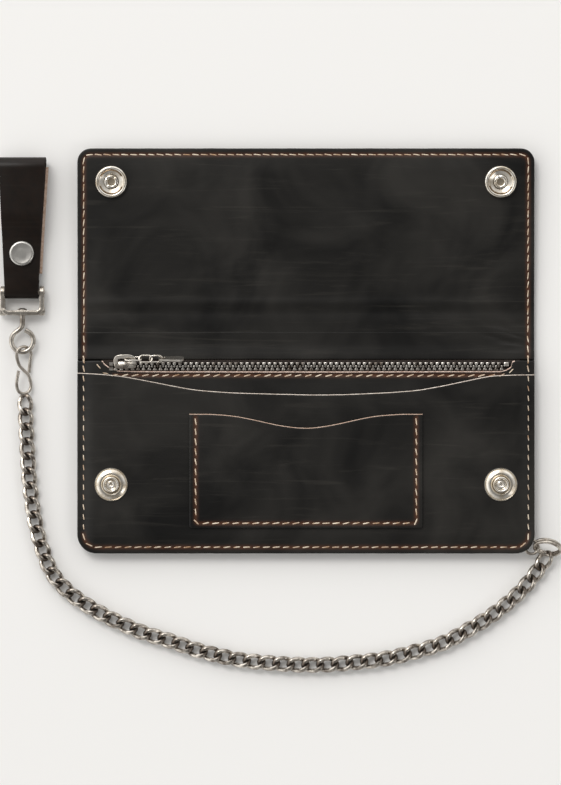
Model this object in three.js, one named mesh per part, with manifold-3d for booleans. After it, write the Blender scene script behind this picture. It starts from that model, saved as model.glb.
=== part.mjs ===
// A long leather chain wallet, lying open: back panel, zipped coin pocket, bill pocket, card pocket,
// snapped flap, and a curb chain that ends in a swivel and a leather belt loop.
// Millimetres. +X is to the right, +Y towards the flap, +Z up. The origin is the centre of the back
// panel's underside.
import * as THREE from "three";
import { mergeVertices } from "three/addons/utils/BufferGeometryUtils.js";
import Module from "manifold-3d";

const wasm = await Module();
wasm.setup();

// ---- Driving dimensions ----

// Fits
const GAP = 0.3; // between pieces that lie on or beside each other

// Leather
const SHELL_T = 1.6; // outer panels
const LINING_T = 1.0; // linings
const POCKET_T = 1.0; // coin pocket and card pocket
const FRONT_T = 1.2; // front of the bill pocket
const STRAP_T = 1.4; // belt loop

// Outline of the opened wallet
const WALLET_W = 190.6;
const LOWER_H = 84; // lower edge to the lower fold
const SPINE_H = 15.6; // lower fold to upper fold
const FLAP_H = 69.2; // upper fold to the flap's edge
const LOWER_CORNER_R = 8;
const FLAP_CORNER_R = 5.7;

// Coin pocket and its zip
const POCKET_ROOM = 1.2; // space inside the coin pocket
const POCKET_FOLD_INSET = 1.7; // lower fold to the coin pocket's folded top
const ZIP_INSET = 6; // lower fold to the middle of the zip
const WINDOW_LEFT_INSET = 9.9; // side edge to the left end of the slot over the zip
const WINDOW_RIGHT_INSET = 8.3;
const TOP_STOP_ROOM = 3.4; // left end of the slot to the top stops
const BOTTOM_STOP_ROOM = 0.8;
const ZIP_ROW_W = 3.4; // both rows of teeth
const TOOTH_PITCH = 2.33;
const TOOTH_L = 0.85;
const TOOTH_T = 1.6;
const TOOTH_OVERLAP = 0.45; // each row's reach past the middle
const BEAD_W = 0.55; // the corded edge that carries the teeth
const TAPE_T = 0.3;
const TAPE_W = 5.5;
const STOP_L = 1.7;

// Slider and pull
const SLIDER_L = 9;
const SLIDER_FROM_TEETH = 0.1; // start of the teeth to the slider's nose
const SLIDER_PLAY = 0.4; // rows of teeth to the slider's side walls
const SLIDER_T = 0.8;
const BAIL_L = 7.4;
const BAIL_H = 4.3;
const BAIL_OFFSET = 0.8; // bail's feet behind the middle of the slider
const BAIL_WIRE = 0.9;
const BAIL_LEAN = THREE.MathUtils.degToRad(62);
const LINK_WIRE = 0.7;
const LINK_W = 3; // wire centre to wire centre
const FIRST_LINK_L = 7;
const NEXT_LINK_L = 5.4;
const TAG_L = 10.8;
const TAG_W = 3.4;
const TAG_T = 0.9;
const TAG_HOLE_R = 1.15;

// Bill pocket's front and card pocket
const MOUTH_BELOW_SLIDER = 0.1; // slider to the level of the mouth's two ends
const MOUTH_DEPTH = 8.9;
const MOUTH_LOW_X = 6;
const CARD_W = 97;
const CARD_FROM_EDGE = 10.6; // lower edge to the card pocket's lower edge
const CARD_FROM_MOUTH = 8.1; // card pocket's top to the lowest point of the mouth
const CARD_MOUTH_DEPTH = 5.7;
const CARD_CORNER_R = 1;

// Snap fasteners
const SNAP_INSET = 14.2; // side edge to the snaps
const SOCKET_FROM_EDGE = 13.9; // flap's edge to the sockets
const STUD_SET_BACK = 0.1; // how much nearer their fold the studs are than the sockets
const STUD_R = 6.95;
const NUB_R = 3.2;
const NUB_H = 2.8;
const SOCKET_R = 6.7;
const SOCKET_RIM_W = 1.6;
const SOCKET_H = 2.2;
const CAP_R = 6.7;
const CAP_H = 1.6;
const SNAP_POST_R = 1.6;
const POST_FLANGE_R = 4.2;
const SNAP_METAL_T = 0.6;

// Chain anchor at the lower right corner
const ANCHOR_R = 2.8;
const ANCHOR_WIRE = 1.2;
const ANCHOR_FROM_SIDE = 1.1; // side edge to the anchor ring's centre
const ANCHOR_FROM_EDGE = 2.6; // lower edge to the anchor ring's centre
const TAB_L = 11;
const TAB_W = 6.4;
const TAB_ROOM = 15; // cleared corner in the coin pocket's leather
const SPLIT_R = 5.6;
const SPLIT_WIRE = 1.2;
const SPLIT_TILT = THREE.MathUtils.degToRad(57);
const SPLIT_RISE = THREE.MathUtils.degToRad(20);

// Chain: the route of its centre line, in order from the hook to the split ring
const CHAIN_W = 6.8;
const CHAIN_STEPS = 78;
const CHAIN_ROUTE = [
  [-117.2, 23.2],
  [-116.9, 13.2],
  [-116.0, -3.7],
  [-114.9, -16.4],
  [-113.0, -29.3],
  [-110.1, -40.1],
  [-105.8, -50.5],
  [-98.6, -58.5],
  [-90.1, -64.5],
  [-79.9, -70.0],
  [-68.0, -75.1],
  [-56.9, -78.5],
  [-44.0, -82.8],
  [-29.2, -86.2],
  [-17.4, -87.6],
  [-4.0, -88.5],
  [8.3, -88.5],
  [20.0, -87.6],
  [33.2, -86.0],
  [44.9, -83.3],
  [57.2, -79.5],
  [67.9, -73.9],
  [78.6, -67.2],
  [87.9, -59.5],
  [94.6, -52.1],
  [98.4, -46.6],
];

// Hook, swivel and belt loop
const SWIVEL_FROM_SIDE = 23; // side edge to the swivel's axis
const TABLE_ROOM = 0.2; // table to the clevis
const HOOK_WIRE = 1.2;
const HOOK_L = 19.9;
const HOOK_PAST_EYE = 2.3; // eye's lower wire to the top of the hook
const HOOK_W = 6;
const EYE_R = 4.7;
const EYE_WIRE = 2;
const SHANK_L = 5; // eye to the clevis plate
const SHANK_R = 1.15;
const SHANK_HEAD_R = 2;
const SHANK_HEAD_H = 1.2;
const CLEVIS_W = 18.2;
const CLEVIS_Y = 57.4; // outer face of the clevis plate
const CLEVIS_H = 10.8;
const CLEVIS_T = 1.5;
const CLEVIS_DEPTH = 5.6;
const BAR_R = 1;
const BAR_INSET = 1.3; // end of the clevis ears to the bar's centre
const STRAP_W = 19.7;
const STRAP_END_PLAY = 0.7; // between the strap's narrow end and each clevis ear
const STRAP_TOP_Y = 123.2;
const STRAP_TAPER_Y = 92; // below this the strap narrows to its end width
const STRAP_BASE = 0.6; // the loop's underside, held up by the snap's post
const STRAP_LOOP_TOP = 9; // top of the loop round the belt
const STRAP_PINCH_Y = 88.3; // below this the snap holds the loop flat
const STRAP_PINCH_ROOM = 0.44; // spare height in the closed loop snap
const STRAP_FULL_Y = 98; // above this the loop has its full height
const TAIL_END_Y = 74.8;
const STRAP_SNAP_Y = 83;
const STRAP_CAP_R = 5.2;
const STRAP_CAP_H = 1.3;
const STRAP_SOCKET_H = 1.3;

// ---- Heights and places that follow ----

const liningBase = SHELL_T + GAP;
const foldZ = liningBase + LINING_T; // both folds turn about the lining's upper face
const pocketBase = SHELL_T + GAP;
const pocketTop = pocketBase + 2 * POCKET_T + POCKET_ROOM;
const frontBase = pocketTop + GAP;
const frontTop = frontBase + FRONT_T;
const cardBase = frontTop + GAP;
const lowerEdgeY = -LOWER_H / 2;
const lowerFoldY = LOWER_H / 2;
const upperFoldY = lowerFoldY + SPINE_H;
const sideX = WALLET_W / 2;
const zipY = lowerFoldY - ZIP_INSET;
const windowLeftX = -sideX + WINDOW_LEFT_INSET;
const windowRightX = sideX - WINDOW_RIGHT_INSET;
const zipLeftX = windowLeftX + TOP_STOP_ROOM + STOP_L + GAP;
const zipRightX = windowRightX - BOTTOM_STOP_ROOM - STOP_L - GAP;
const sliderX = zipLeftX + SLIDER_FROM_TEETH + SLIDER_L / 2;
const sliderHalfW = ZIP_ROW_W / 2 + SLIDER_PLAY + SNAP_METAL_T;
const mouthEndY = zipY - sliderHalfW - MOUTH_BELOW_SLIDER;
const mouthLowY = mouthEndY - MOUTH_DEPTH;
const windowHalfW = ZIP_ROW_W / 2 + GAP;
const toothMiddleZ = pocketTop - TOOTH_T / 2 + POCKET_T * 0.6;
const sliderBase = toothMiddleZ + TOOTH_T / 2 + GAP;
const sliderTop = sliderBase + SLIDER_T;
const snapX = sideX - SNAP_INSET;
const socketFromFold = FLAP_H - SOCKET_FROM_EDGE;
const flapTilt = Math.asin(CAP_H / (socketFromFold - CAP_R));
const studY = lowerFoldY - socketFromFold + STUD_SET_BACK;
const socketMouthR = SOCKET_R - SOCKET_RIM_W;
const postFlangeBase = frontBase + GAP / 2;
const postFlangeTop = postFlangeBase + SNAP_METAL_T * 0.7;
const anchorX = sideX - ANCHOR_FROM_SIDE;
const anchorY = lowerEdgeY + ANCHOR_FROM_EDGE;
const splitPlay = ANCHOR_R - ANCHOR_WIRE / 2 - SPLIT_WIRE / 2 - GAP * 1.5;
const anchorZ = (pocketBase + pocketTop) / 2;
const strapLoopR = (STRAP_LOOP_TOP - STRAP_BASE) / 2;
const strapLoopZ = (STRAP_LOOP_TOP + STRAP_BASE) / 2;
const strapFoldY = STRAP_TOP_Y - strapLoopR;
const barY = CLEVIS_Y + CLEVIS_H - BAR_INSET;
const strapEyeR = BAR_R + GAP + STRAP_T;
const strapEndW = CLEVIS_W - 2 * (CLEVIS_T + STRAP_END_PLAY);
const loopStudT = SNAP_METAL_T * 0.6;
const strapPinchTop = STRAP_BASE + 2 * STRAP_T + loopStudT + STRAP_SOCKET_H + 3 * GAP + STRAP_PINCH_ROOM;
const swivelX = -sideX - SWIVEL_FROM_SIDE;
const swivelZ = Math.max(CLEVIS_DEPTH / 2 + TABLE_ROOM, strapEyeR + GAP);
const eyeY = CLEVIS_Y - SHANK_L - EYE_R - EYE_WIRE / 2;
const hookTopY = eyeY - EYE_R + HOOK_PAST_EYE;
const hookLowY = hookTopY - HOOK_L;
const holeR = SNAP_POST_R + GAP;

// ---- Materials ----

function finish(color, roughness, metalness) {
  return new THREE.MeshStandardMaterial({ color, roughness, metalness });
}
const leather = finish(0x1c1a18, 0.5, 0);
const lining = finish(0x201e1c, 0.5, 0);
const nickel = finish(0xd8d4ca, 0.22, 1);
const antiqueNickel = finish(0x928c82, 0.35, 1);
const zipMetal = finish(0xa8a49c, 0.35, 1);
const tapeCloth = finish(0x1a1715, 0.9, 0);

// ---- Shape helpers ----

const UP = new THREE.Vector3(0, 0, 1);

function toSolid(geometry) {
  const bare = geometry.index ? geometry.toNonIndexed() : geometry.clone();
  const shell = new THREE.BufferGeometry().setAttribute("position", bare.getAttribute("position"));
  const merged = mergeVertices(shell, 1e-4);
  return new wasm.Manifold(
    new wasm.Mesh({
      numProp: 3,
      vertProperties: new Float32Array(merged.attributes.position.array),
      triVerts: new Uint32Array(merged.index.array),
    }),
  );
}

function toGeometry(solid) {
  const mesh = solid.getMesh();
  return new THREE.BufferGeometry()
    .setAttribute("position", new THREE.BufferAttribute(new Float32Array(mesh.vertProperties), 3))
    .setIndex(new THREE.BufferAttribute(new Uint32Array(mesh.triVerts), 1));
}

function cut(body, ...tools) {
  return toGeometry(tools.reduce((left, tool) => left.subtract(toSolid(tool)), toSolid(body)));
}

function join(body, ...others) {
  return toGeometry(others.reduce((sum, other) => sum.add(toSolid(other)), toSolid(body)));
}

function common(body, other) {
  return toGeometry(toSolid(body).intersect(toSolid(other)));
}

function box(x0, x1, y0, y1, z0, z1) {
  const block = new THREE.BoxGeometry(x1 - x0, y1 - y0, z1 - z0);
  return block.translate((x0 + x1) / 2, (y0 + y1) / 2, (z0 + z1) / 2);
}

// A flat sheet with the given plan outline, from z0 to z1.
function sheet(outline, z0, z1, curveSegments = 5) {
  const settings = { depth: z1 - z0, bevelEnabled: false, curveSegments };
  return new THREE.ExtrudeGeometry(outline, settings).translate(0, 0, z0);
}

// A section drawn in Y and Z, drawn out along X from x0 to x1.
function alongX(section, x0, x1, curveSegments = 6) {
  const drawn = new THREE.ExtrudeGeometry(section, { depth: x1 - x0, bevelEnabled: false, curveSegments });
  const turn = new THREE.Matrix4().makeBasis(new THREE.Vector3(0, 1, 0), UP, new THREE.Vector3(1, 0, 0));
  return drawn.applyMatrix4(turn).translate(x0, 0, 0);
}

// A turned piece about Z, from its [radius, height] profile.
function turned(profile, segments = 24) {
  const points = profile.map(([r, z]) => new THREE.Vector2(r, z));
  return new THREE.LatheGeometry(points, segments).rotateX(Math.PI / 2);
}

function disc(r, z0, z1, segments = 24) {
  const round = new THREE.CylinderGeometry(r, r, z1 - z0, segments).rotateX(Math.PI / 2);
  return round.translate(0, 0, (z0 + z1) / 2);
}

// A round rod along X.
function rod(r, length, y, z) {
  return new THREE.CylinderGeometry(r, r, length, 16).rotateZ(Math.PI / 2).translate(0, y, z);
}

// A closed wire ring in X and Y, drawn out by the two stretches into an oval or a long link.
function wireRing(r, wire, stretchX = 0, stretchY = 0, sides = 6, steps = 16) {
  const ring = new THREE.TorusGeometry(r, wire / 2, sides, steps).rotateZ(Math.PI / steps);
  const p = ring.attributes.position;
  for (let i = 0; i < p.count; i += 1) {
    p.setX(i, p.getX(i) + Math.sign(p.getX(i)) * stretchX);
    p.setY(i, p.getY(i) + Math.sign(p.getY(i)) * stretchY);
  }
  return ring;
}

// A wire along a curve through the given points.
function wireAlong(points, wire, steps, sides = 8) {
  const section = new THREE.Shape();
  for (let i = 0; i < sides; i += 1) {
    const angle = (2 * Math.PI * (i + 0.5)) / sides;
    const at = [(wire / 2) * Math.cos(angle), (wire / 2) * Math.sin(angle)];
    if (i) section.lineTo(...at);
    else section.moveTo(...at);
  }
  const places = points.map((p) => new THREE.Vector3(...p));
  const path = new THREE.CatmullRomCurve3(places, false, "centripetal");
  return new THREE.ExtrudeGeometry(section, { steps, bevelEnabled: false, extrudePath: path });
}

// A rectangle with its own corner radius at the low-Y and the high-Y end; 0 leaves a square corner.
function panelOutline(halfW, y0, y1, lowR, highR) {
  const s = new THREE.Shape();
  s.moveTo(-halfW + lowR, y0);
  s.lineTo(halfW - lowR, y0);
  if (lowR) s.absarc(halfW - lowR, y0 + lowR, lowR, -Math.PI / 2, 0);
  s.lineTo(halfW, y1 - highR);
  if (highR) s.absarc(halfW - highR, y1 - highR, highR, 0, Math.PI / 2);
  s.lineTo(-halfW + highR, y1);
  if (highR) s.absarc(-halfW + highR, y1 - highR, highR, Math.PI / 2, Math.PI);
  s.lineTo(-halfW, y0 + lowR);
  if (lowR) s.absarc(-halfW + lowR, y0 + lowR, lowR, Math.PI, 1.5 * Math.PI);
  return s;
}

function piece(name, geometry, material) {
  geometry.deleteAttribute("uv");
  geometry.computeVertexNormals();
  const mesh = new THREE.Mesh(geometry, material);
  mesh.name = name;
  return mesh;
}

function place(mesh, x, y, z) {
  mesh.position.set(x, y, z);
  return mesh;
}

// ---- Lower half ----

function outerShellBack() {
  const outline = panelOutline(sideX, lowerEdgeY, lowerFoldY - GAP / 2, LOWER_CORNER_R, 0);
  return piece("outer_shell_back", sheet(outline, 0, SHELL_T), leather);
}

function zipWindow() {
  const halfL = (windowRightX - windowLeftX) / 2;
  const cornerR = windowHalfW / 2;
  const slot = panelOutline(halfL, zipY - windowHalfW, zipY + windowHalfW, cornerR, cornerR);
  const middleX = (windowRightX + windowLeftX) / 2;
  return sheet(slot, pocketBase + POCKET_T + GAP, pocketTop + 1).translate(middleX, 0, 0);
}

// One leather folded over at the top: back, fold and front, with a slot for the zip near the fold.
function zipPocketLeather() {
  const outerR = (pocketTop - pocketBase) / 2;
  const innerR = outerR - POCKET_T;
  const foldY = lowerFoldY - POCKET_FOLD_INSET - outerR;
  const middleZ = pocketBase + outerR;
  const s = new THREE.Shape();
  s.moveTo(lowerEdgeY, pocketBase);
  s.lineTo(foldY, pocketBase);
  s.absarc(foldY, middleZ, outerR, -Math.PI / 2, Math.PI / 2);
  s.lineTo(lowerEdgeY, pocketTop);
  s.lineTo(lowerEdgeY, pocketTop - POCKET_T);
  s.lineTo(foldY, pocketTop - POCKET_T);
  s.absarc(foldY, middleZ, innerR, Math.PI / 2, -Math.PI / 2, true);
  s.lineTo(lowerEdgeY, pocketBase + POCKET_T);
  const folded = alongX(s, -sideX, sideX);
  const outline = panelOutline(sideX, lowerEdgeY, lowerFoldY, LOWER_CORNER_R, 0);
  const trimmed = common(folded, sheet(outline, 0, pocketTop + 1));
  const corner = box(
    sideX - TAB_ROOM,
    sideX + 1,
    lowerEdgeY - 1,
    anchorY + Math.max(TAB_W / 2, ANCHOR_R + ANCHOR_WIRE / 2) + GAP,
    0,
    pocketTop + 1,
  );
  return piece("zip_pocket_leather", cut(trimmed, zipWindow(), corner), leather);
}

// One row of teeth on its corded edge. Side -1 is nearest the mouth of the bill pocket.
function toothRow(name, side) {
  const teeth = Math.floor((zipRightX - zipLeftX) / TOOTH_PITCH);
  const shift = side > 0 ? TOOTH_PITCH / 2 : 0;
  const edge = (side * ZIP_ROW_W) / 2;
  const root = edge - side * BEAD_W;
  const tip = -side * TOOTH_OVERLAP;
  const s = new THREE.Shape();
  s.moveTo(zipLeftX, zipY + edge);
  s.lineTo(zipLeftX, zipY + root);
  for (let i = 0; i < teeth - 1; i += 1) {
    const x = zipLeftX + GAP + shift + i * TOOTH_PITCH;
    s.lineTo(x, zipY + root);
    s.lineTo(x + TOOTH_L * 0.15, zipY + tip);
    s.lineTo(x + TOOTH_L * 0.85, zipY + tip);
    s.lineTo(x + TOOTH_L, zipY + root);
  }
  s.lineTo(zipRightX, zipY + root);
  s.lineTo(zipRightX, zipY + edge);
  const row = sheet(s, toothMiddleZ - TOOTH_T / 2, toothMiddleZ + TOOTH_T / 2);
  return piece(name, row, zipMetal);
}

function zipTape(name, side) {
  const top = Math.min(toothMiddleZ - TOOTH_T / 2, pocketTop - POCKET_T) - GAP / 2;
  const inner = zipY + side * TOOTH_OVERLAP;
  const room = side > 0 ? POCKET_FOLD_INSET + POCKET_T : 0;
  const outer = side > 0 ? Math.min(inner + TAPE_W, lowerFoldY - room - GAP * 2) : inner - TAPE_W;
  const past = STOP_L * 3;
  const strip = box(
    zipLeftX - past,
    zipRightX + past,
    Math.min(inner, outer),
    Math.max(inner, outer),
    top - TAPE_T,
    top,
  );
  return piece(name, strip, tapeCloth);
}

function zipStops() {
  const left = zipLeftX - GAP;
  const right = zipRightX + GAP;
  const z0 = toothMiddleZ - TOOTH_T / 2;
  const z1 = toothMiddleZ + TOOTH_T / 2;
  const halfW = ZIP_ROW_W / 2;
  const stop = (name, x0, x1, y0, y1) => piece(name, box(x0, x1, y0, y1, z0, z1), zipMetal);
  return [
    stop("zip_top_stop_front", left - STOP_L, left, zipY - halfW, zipY - GAP / 2),
    stop("zip_top_stop_rear", left - STOP_L, left, zipY + GAP / 2, zipY + halfW),
    stop("zip_bottom_stop", right, right + STOP_L, zipY - halfW, zipY + halfW),
  ];
}

// The bill pocket's front, with a shallow scooped mouth, and a stepped hole for each stud's post.
function frontPanel() {
  const halfW = sideX;
  const s = new THREE.Shape();
  s.moveTo(-halfW + LOWER_CORNER_R, lowerEdgeY);
  s.lineTo(halfW - LOWER_CORNER_R, lowerEdgeY);
  s.absarc(halfW - LOWER_CORNER_R, lowerEdgeY + LOWER_CORNER_R, LOWER_CORNER_R, -Math.PI / 2, 0);
  s.lineTo(halfW, mouthEndY);
  s.bezierCurveTo(halfW * 0.76, mouthEndY, halfW * 0.58, mouthLowY, MOUTH_LOW_X, mouthLowY);
  s.bezierCurveTo(-halfW * 0.5, mouthLowY, -halfW * 0.66, mouthEndY - MOUTH_DEPTH * 0.22, -halfW, mouthEndY);
  s.lineTo(-halfW, lowerEdgeY + LOWER_CORNER_R);
  s.absarc(-halfW + LOWER_CORNER_R, lowerEdgeY + LOWER_CORNER_R, LOWER_CORNER_R, Math.PI, 1.5 * Math.PI);
  const tools = [];
  for (const x of [-snapX, snapX]) {
    tools.push(disc(holeR, frontBase - 1, frontTop + 1).translate(x, studY, 0));
    tools.push(disc(POST_FLANGE_R + GAP, frontBase - 1, postFlangeTop + GAP).translate(x, studY, 0));
  }
  return piece("front_panel", cut(sheet(s, frontBase, frontTop, 12), ...tools), leather);
}

function cardPocket() {
  const y0 = lowerEdgeY + CARD_FROM_EDGE;
  const y1 = mouthLowY - CARD_FROM_MOUTH;
  const halfW = CARD_W / 2;
  const r = CARD_CORNER_R;
  const s = new THREE.Shape();
  s.moveTo(-halfW + r, y0);
  s.lineTo(halfW - r, y0);
  s.absarc(halfW - r, y0 + r, r, -Math.PI / 2, 0);
  s.lineTo(halfW, y1);
  s.bezierCurveTo(halfW * 0.62, y1 + GAP, halfW * 0.42, y1 - CARD_MOUTH_DEPTH, 0, y1 - CARD_MOUTH_DEPTH);
  s.bezierCurveTo(-halfW * 0.42, y1 - CARD_MOUTH_DEPTH, -halfW * 0.62, y1 + GAP, -halfW, y1);
  s.lineTo(-halfW, y0 + r);
  s.absarc(-halfW + r, y0 + r, r, Math.PI, 1.5 * Math.PI);
  return piece("card_pocket", sheet(s, cardBase, cardBase + POCKET_T, 8), leather);
}

// ---- Snaps ----

// The post is riveted up through the leather and flared over inside the stud.
function studAndPost(side, x) {
  const base = frontTop + GAP;
  const floor = base + SNAP_METAL_T;
  const top = base + NUB_H;
  const nubInnerR = NUB_R - SNAP_METAL_T;
  const stud = turned([
    [holeR, base],
    [STUD_R, base],
    [STUD_R, floor + SNAP_METAL_T * 0.6],
    [STUD_R - SNAP_METAL_T, floor + SNAP_METAL_T],
    [STUD_R - SNAP_METAL_T * 2, floor],
    [NUB_R + GAP, floor],
    [NUB_R, top],
    [nubInnerR, top],
    [nubInnerR, floor],
    [holeR, floor],
    [holeR, base],
  ]);
  const flareTop = floor + GAP + SNAP_METAL_T * 0.7;
  const post = turned([
    [0, postFlangeBase],
    [POST_FLANGE_R, postFlangeBase],
    [POST_FLANGE_R, postFlangeTop],
    [SNAP_POST_R, postFlangeTop],
    [SNAP_POST_R, floor + GAP],
    [nubInnerR - GAP, floor + GAP],
    [nubInnerR - GAP * 1.5, flareTop],
    [0, flareTop],
  ]);
  return [
    place(piece("snap_stud_" + side, stud, nickel), x, studY, 0),
    place(piece("snap_post_" + side, post, nickel), x, studY, 0),
  ];
}

// The socket sits on the lining; the cap's shank comes through both leathers into it.
function socketAndCap(side, x) {
  const base = foldZ + GAP;
  const floor = base + SNAP_METAL_T;
  const top = base + SOCKET_H;
  const socket = turned([
    [holeR, base],
    [SOCKET_R, base],
    [SOCKET_R, top - SNAP_METAL_T],
    [SOCKET_R - SNAP_METAL_T, top],
    [socketMouthR + SNAP_METAL_T * 0.5, top],
    [socketMouthR, floor + SNAP_METAL_T],
    [socketMouthR - SNAP_METAL_T, floor],
    [holeR, floor],
    [holeR, base],
  ]);
  const flareR = 2.7;
  const cap = turned([
    [0, -CAP_H],
    [CAP_R * 0.8, -CAP_H],
    [CAP_R, -CAP_H * 0.5],
    [CAP_R, -GAP],
    [SNAP_POST_R, -GAP],
    [SNAP_POST_R, floor + GAP],
    [flareR, floor + GAP],
    [flareR - GAP, floor + GAP + SNAP_METAL_T * 0.6],
    [0, floor + GAP + SNAP_METAL_T * 0.6],
  ]);
  const y = upperFoldY + socketFromFold;
  return [
    place(piece("snap_socket_" + side, socket, nickel), x, y, 0),
    place(piece("snap_cap_" + side, cap, nickel), x, y, 0),
  ];
}

// ---- Spine and flap ----

function spine() {
  const y0 = lowerFoldY + GAP / 2;
  const y1 = upperFoldY - GAP / 2;
  const outline = panelOutline(sideX, y0, y1, 0, 0);
  return [
    piece("spine_outer", sheet(outline, 0, SHELL_T), leather),
    piece("spine_lining", sheet(outline, liningBase, foldZ), lining),
  ];
}

// The flap lies a little up from the table, carried by its snap caps.
function flap() {
  const y0 = upperFoldY + GAP;
  const y1 = upperFoldY + FLAP_H;
  const outline = panelOutline(sideX, y0, y1, 0, FLAP_CORNER_R);
  const holes = [-snapX, snapX].map((x) =>
    disc(holeR, -1, foldZ + 1).translate(x, upperFoldY + socketFromFold, 0),
  );
  const turn = new THREE.Group();
  turn.position.set(0, upperFoldY, foldZ);
  turn.rotation.x = flapTilt;
  const flat = new THREE.Group();
  flat.position.set(0, -upperFoldY, -foldZ);
  flat.add(
    piece("flap_outer", cut(sheet(outline, 0, SHELL_T), ...holes), leather),
    piece("flap_lining", cut(sheet(outline, liningBase, foldZ), ...holes), lining),
    ...socketAndCap("left", -snapX),
    ...socketAndCap("right", snapX),
  );
  return turn.add(flat);
}

// ---- Zip slider and pull ----

function slider() {
  const halfL = SLIDER_L / 2;
  const halfW = sliderHalfW;
  const inner = halfW - SNAP_METAL_T;
  const lip = pocketTop + GAP;
  const nose = halfW * 0.55;
  const plan = new THREE.Shape();
  plan.moveTo(-halfL, -nose);
  plan.lineTo(-halfL * 0.6, -halfW);
  plan.lineTo(halfL, -halfW);
  plan.lineTo(halfL, halfW);
  plan.lineTo(-halfL * 0.6, halfW);
  plan.lineTo(-halfL, nose);
  const block = sheet(plan, lip, sliderTop);
  const channel = box(-halfL - 1, halfL + 1, -inner, inner, lip - 1, sliderBase);
  return place(piece("zip_slider", cut(block, channel), nickel), sliderX, zipY, 0);
}

function bail() {
  const half = BAIL_L / 2;
  const foot = BAIL_WIRE * 0.95;
  const points = [
    [-half, 0, foot],
    [-half, 0, BAIL_H * 0.62],
    [-half * 0.72, 0, BAIL_H * 0.93],
    [0, 0, BAIL_H],
    [half * 0.72, 0, BAIL_H * 0.93],
    [half, 0, BAIL_H * 0.62],
    [half, 0, foot],
  ];
  return piece("zip_bail", wireAlong(points, BAIL_WIRE, 18), nickel);
}

// A long link, twisted about its own length.
function pullLink(name, startX, length, twist) {
  const r = LINK_W / 2;
  const link = wireRing(r, LINK_WIRE, (length - LINK_W) / 2, 0, 6, 12).rotateX(twist);
  return place(piece(name, link, nickel), startX + length / 2, 0, 0);
}

function pullTag(startX) {
  const halfW = TAG_W / 2;
  const s = new THREE.Shape();
  s.moveTo(halfW * 0.7, -halfW * 0.75);
  s.lineTo(TAG_L - halfW, -halfW);
  s.absarc(TAG_L - halfW, 0, halfW, -Math.PI / 2, Math.PI / 2);
  s.lineTo(halfW * 0.7, halfW * 0.75);
  s.absarc(halfW, 0, halfW, Math.PI * 0.74, Math.PI * 1.26);
  const hole = disc(TAG_HOLE_R, -TAG_T, TAG_T, 16).scale(1, 0.92, 1).translate(halfW + GAP, 0, 0);
  const blank = sheet(s, -TAG_T / 2, TAG_T / 2, 6);
  return place(piece("pull_tag", cut(blank, hole), nickel), startX, 0, 0);
}

// The bail leans towards the fold, and the links and tag lie in line with it.
function sliderPull() {
  const step = LINK_WIRE + GAP;
  const crossbarH = BAIL_H - BAIL_WIRE / 2 - LINK_WIRE / 2 - GAP * 3;
  const secondX = FIRST_LINK_L - step;
  const thirdX = secondX + NEXT_LINK_L - step;
  const tagX = thirdX + NEXT_LINK_L - step * 1.9;
  const lean = new THREE.Group();
  lean.position.set(sliderX, zipY + BAIL_OFFSET, sliderTop);
  lean.rotation.x = -BAIL_LEAN;
  const line = new THREE.Group();
  line.position.z = crossbarH;
  line.add(
    pullLink("pull_link_a", 0, FIRST_LINK_L, 0),
    pullLink("pull_link_b", secondX, NEXT_LINK_L, Math.PI / 4),
    pullLink("pull_link_c", thirdX, NEXT_LINK_L, Math.PI / 2),
    pullTag(tagX),
  );
  return lean.add(bail(), line);
}

// ---- Chain anchor, chain and hook ----

function anchor() {
  const ring = wireRing(ANCHOR_R, ANCHOR_WIRE, 0, 0, 8, 20);
  const room = wireRing(ANCHOR_R, ANCHOR_WIRE + 2 * GAP, 0, 0, 8, 20).translate(anchorX, anchorY, anchorZ);
  const inside = disc(ANCHOR_R, pocketBase - 1, pocketTop + 1).translate(anchorX, anchorY, 0);
  const tabX1 = anchorX - ANCHOR_R + ANCHOR_WIRE;
  const tab = box(tabX1 - TAB_L, tabX1, anchorY - TAB_W / 2, anchorY + TAB_W / 2, pocketBase, pocketTop);
  const outline = panelOutline(sideX, lowerEdgeY, lowerFoldY, LOWER_CORNER_R, 0);
  const trimmed = common(tab, sheet(outline, 0, pocketTop + 1));
  return [
    place(piece("anchor_ring", ring, antiqueNickel), anchorX, anchorY, anchorZ),
    piece("chain_tab", cut(trimmed, room, inside), leather),
  ];
}

function splitRing() {
  const ring = wireRing(SPLIT_R, SPLIT_WIRE, 0, 0, 8, 28);
  ring.rotateX(SPLIT_TILT);
  ring.rotateY(-SPLIT_RISE);
  const z = anchorZ + SPLIT_R * Math.sin(SPLIT_RISE);
  const x = anchorX + splitPlay + SPLIT_R * Math.cos(SPLIT_RISE);
  return place(piece("split_ring", ring, antiqueNickel), x, anchorY, z);
}

function chain() {
  const z = CHAIN_W / 2;
  const points = CHAIN_ROUTE.map(([x, y]) => [x, y, z]);
  return piece("chain", wireAlong(points, CHAIN_W, CHAIN_STEPS), antiqueNickel);
}

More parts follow.
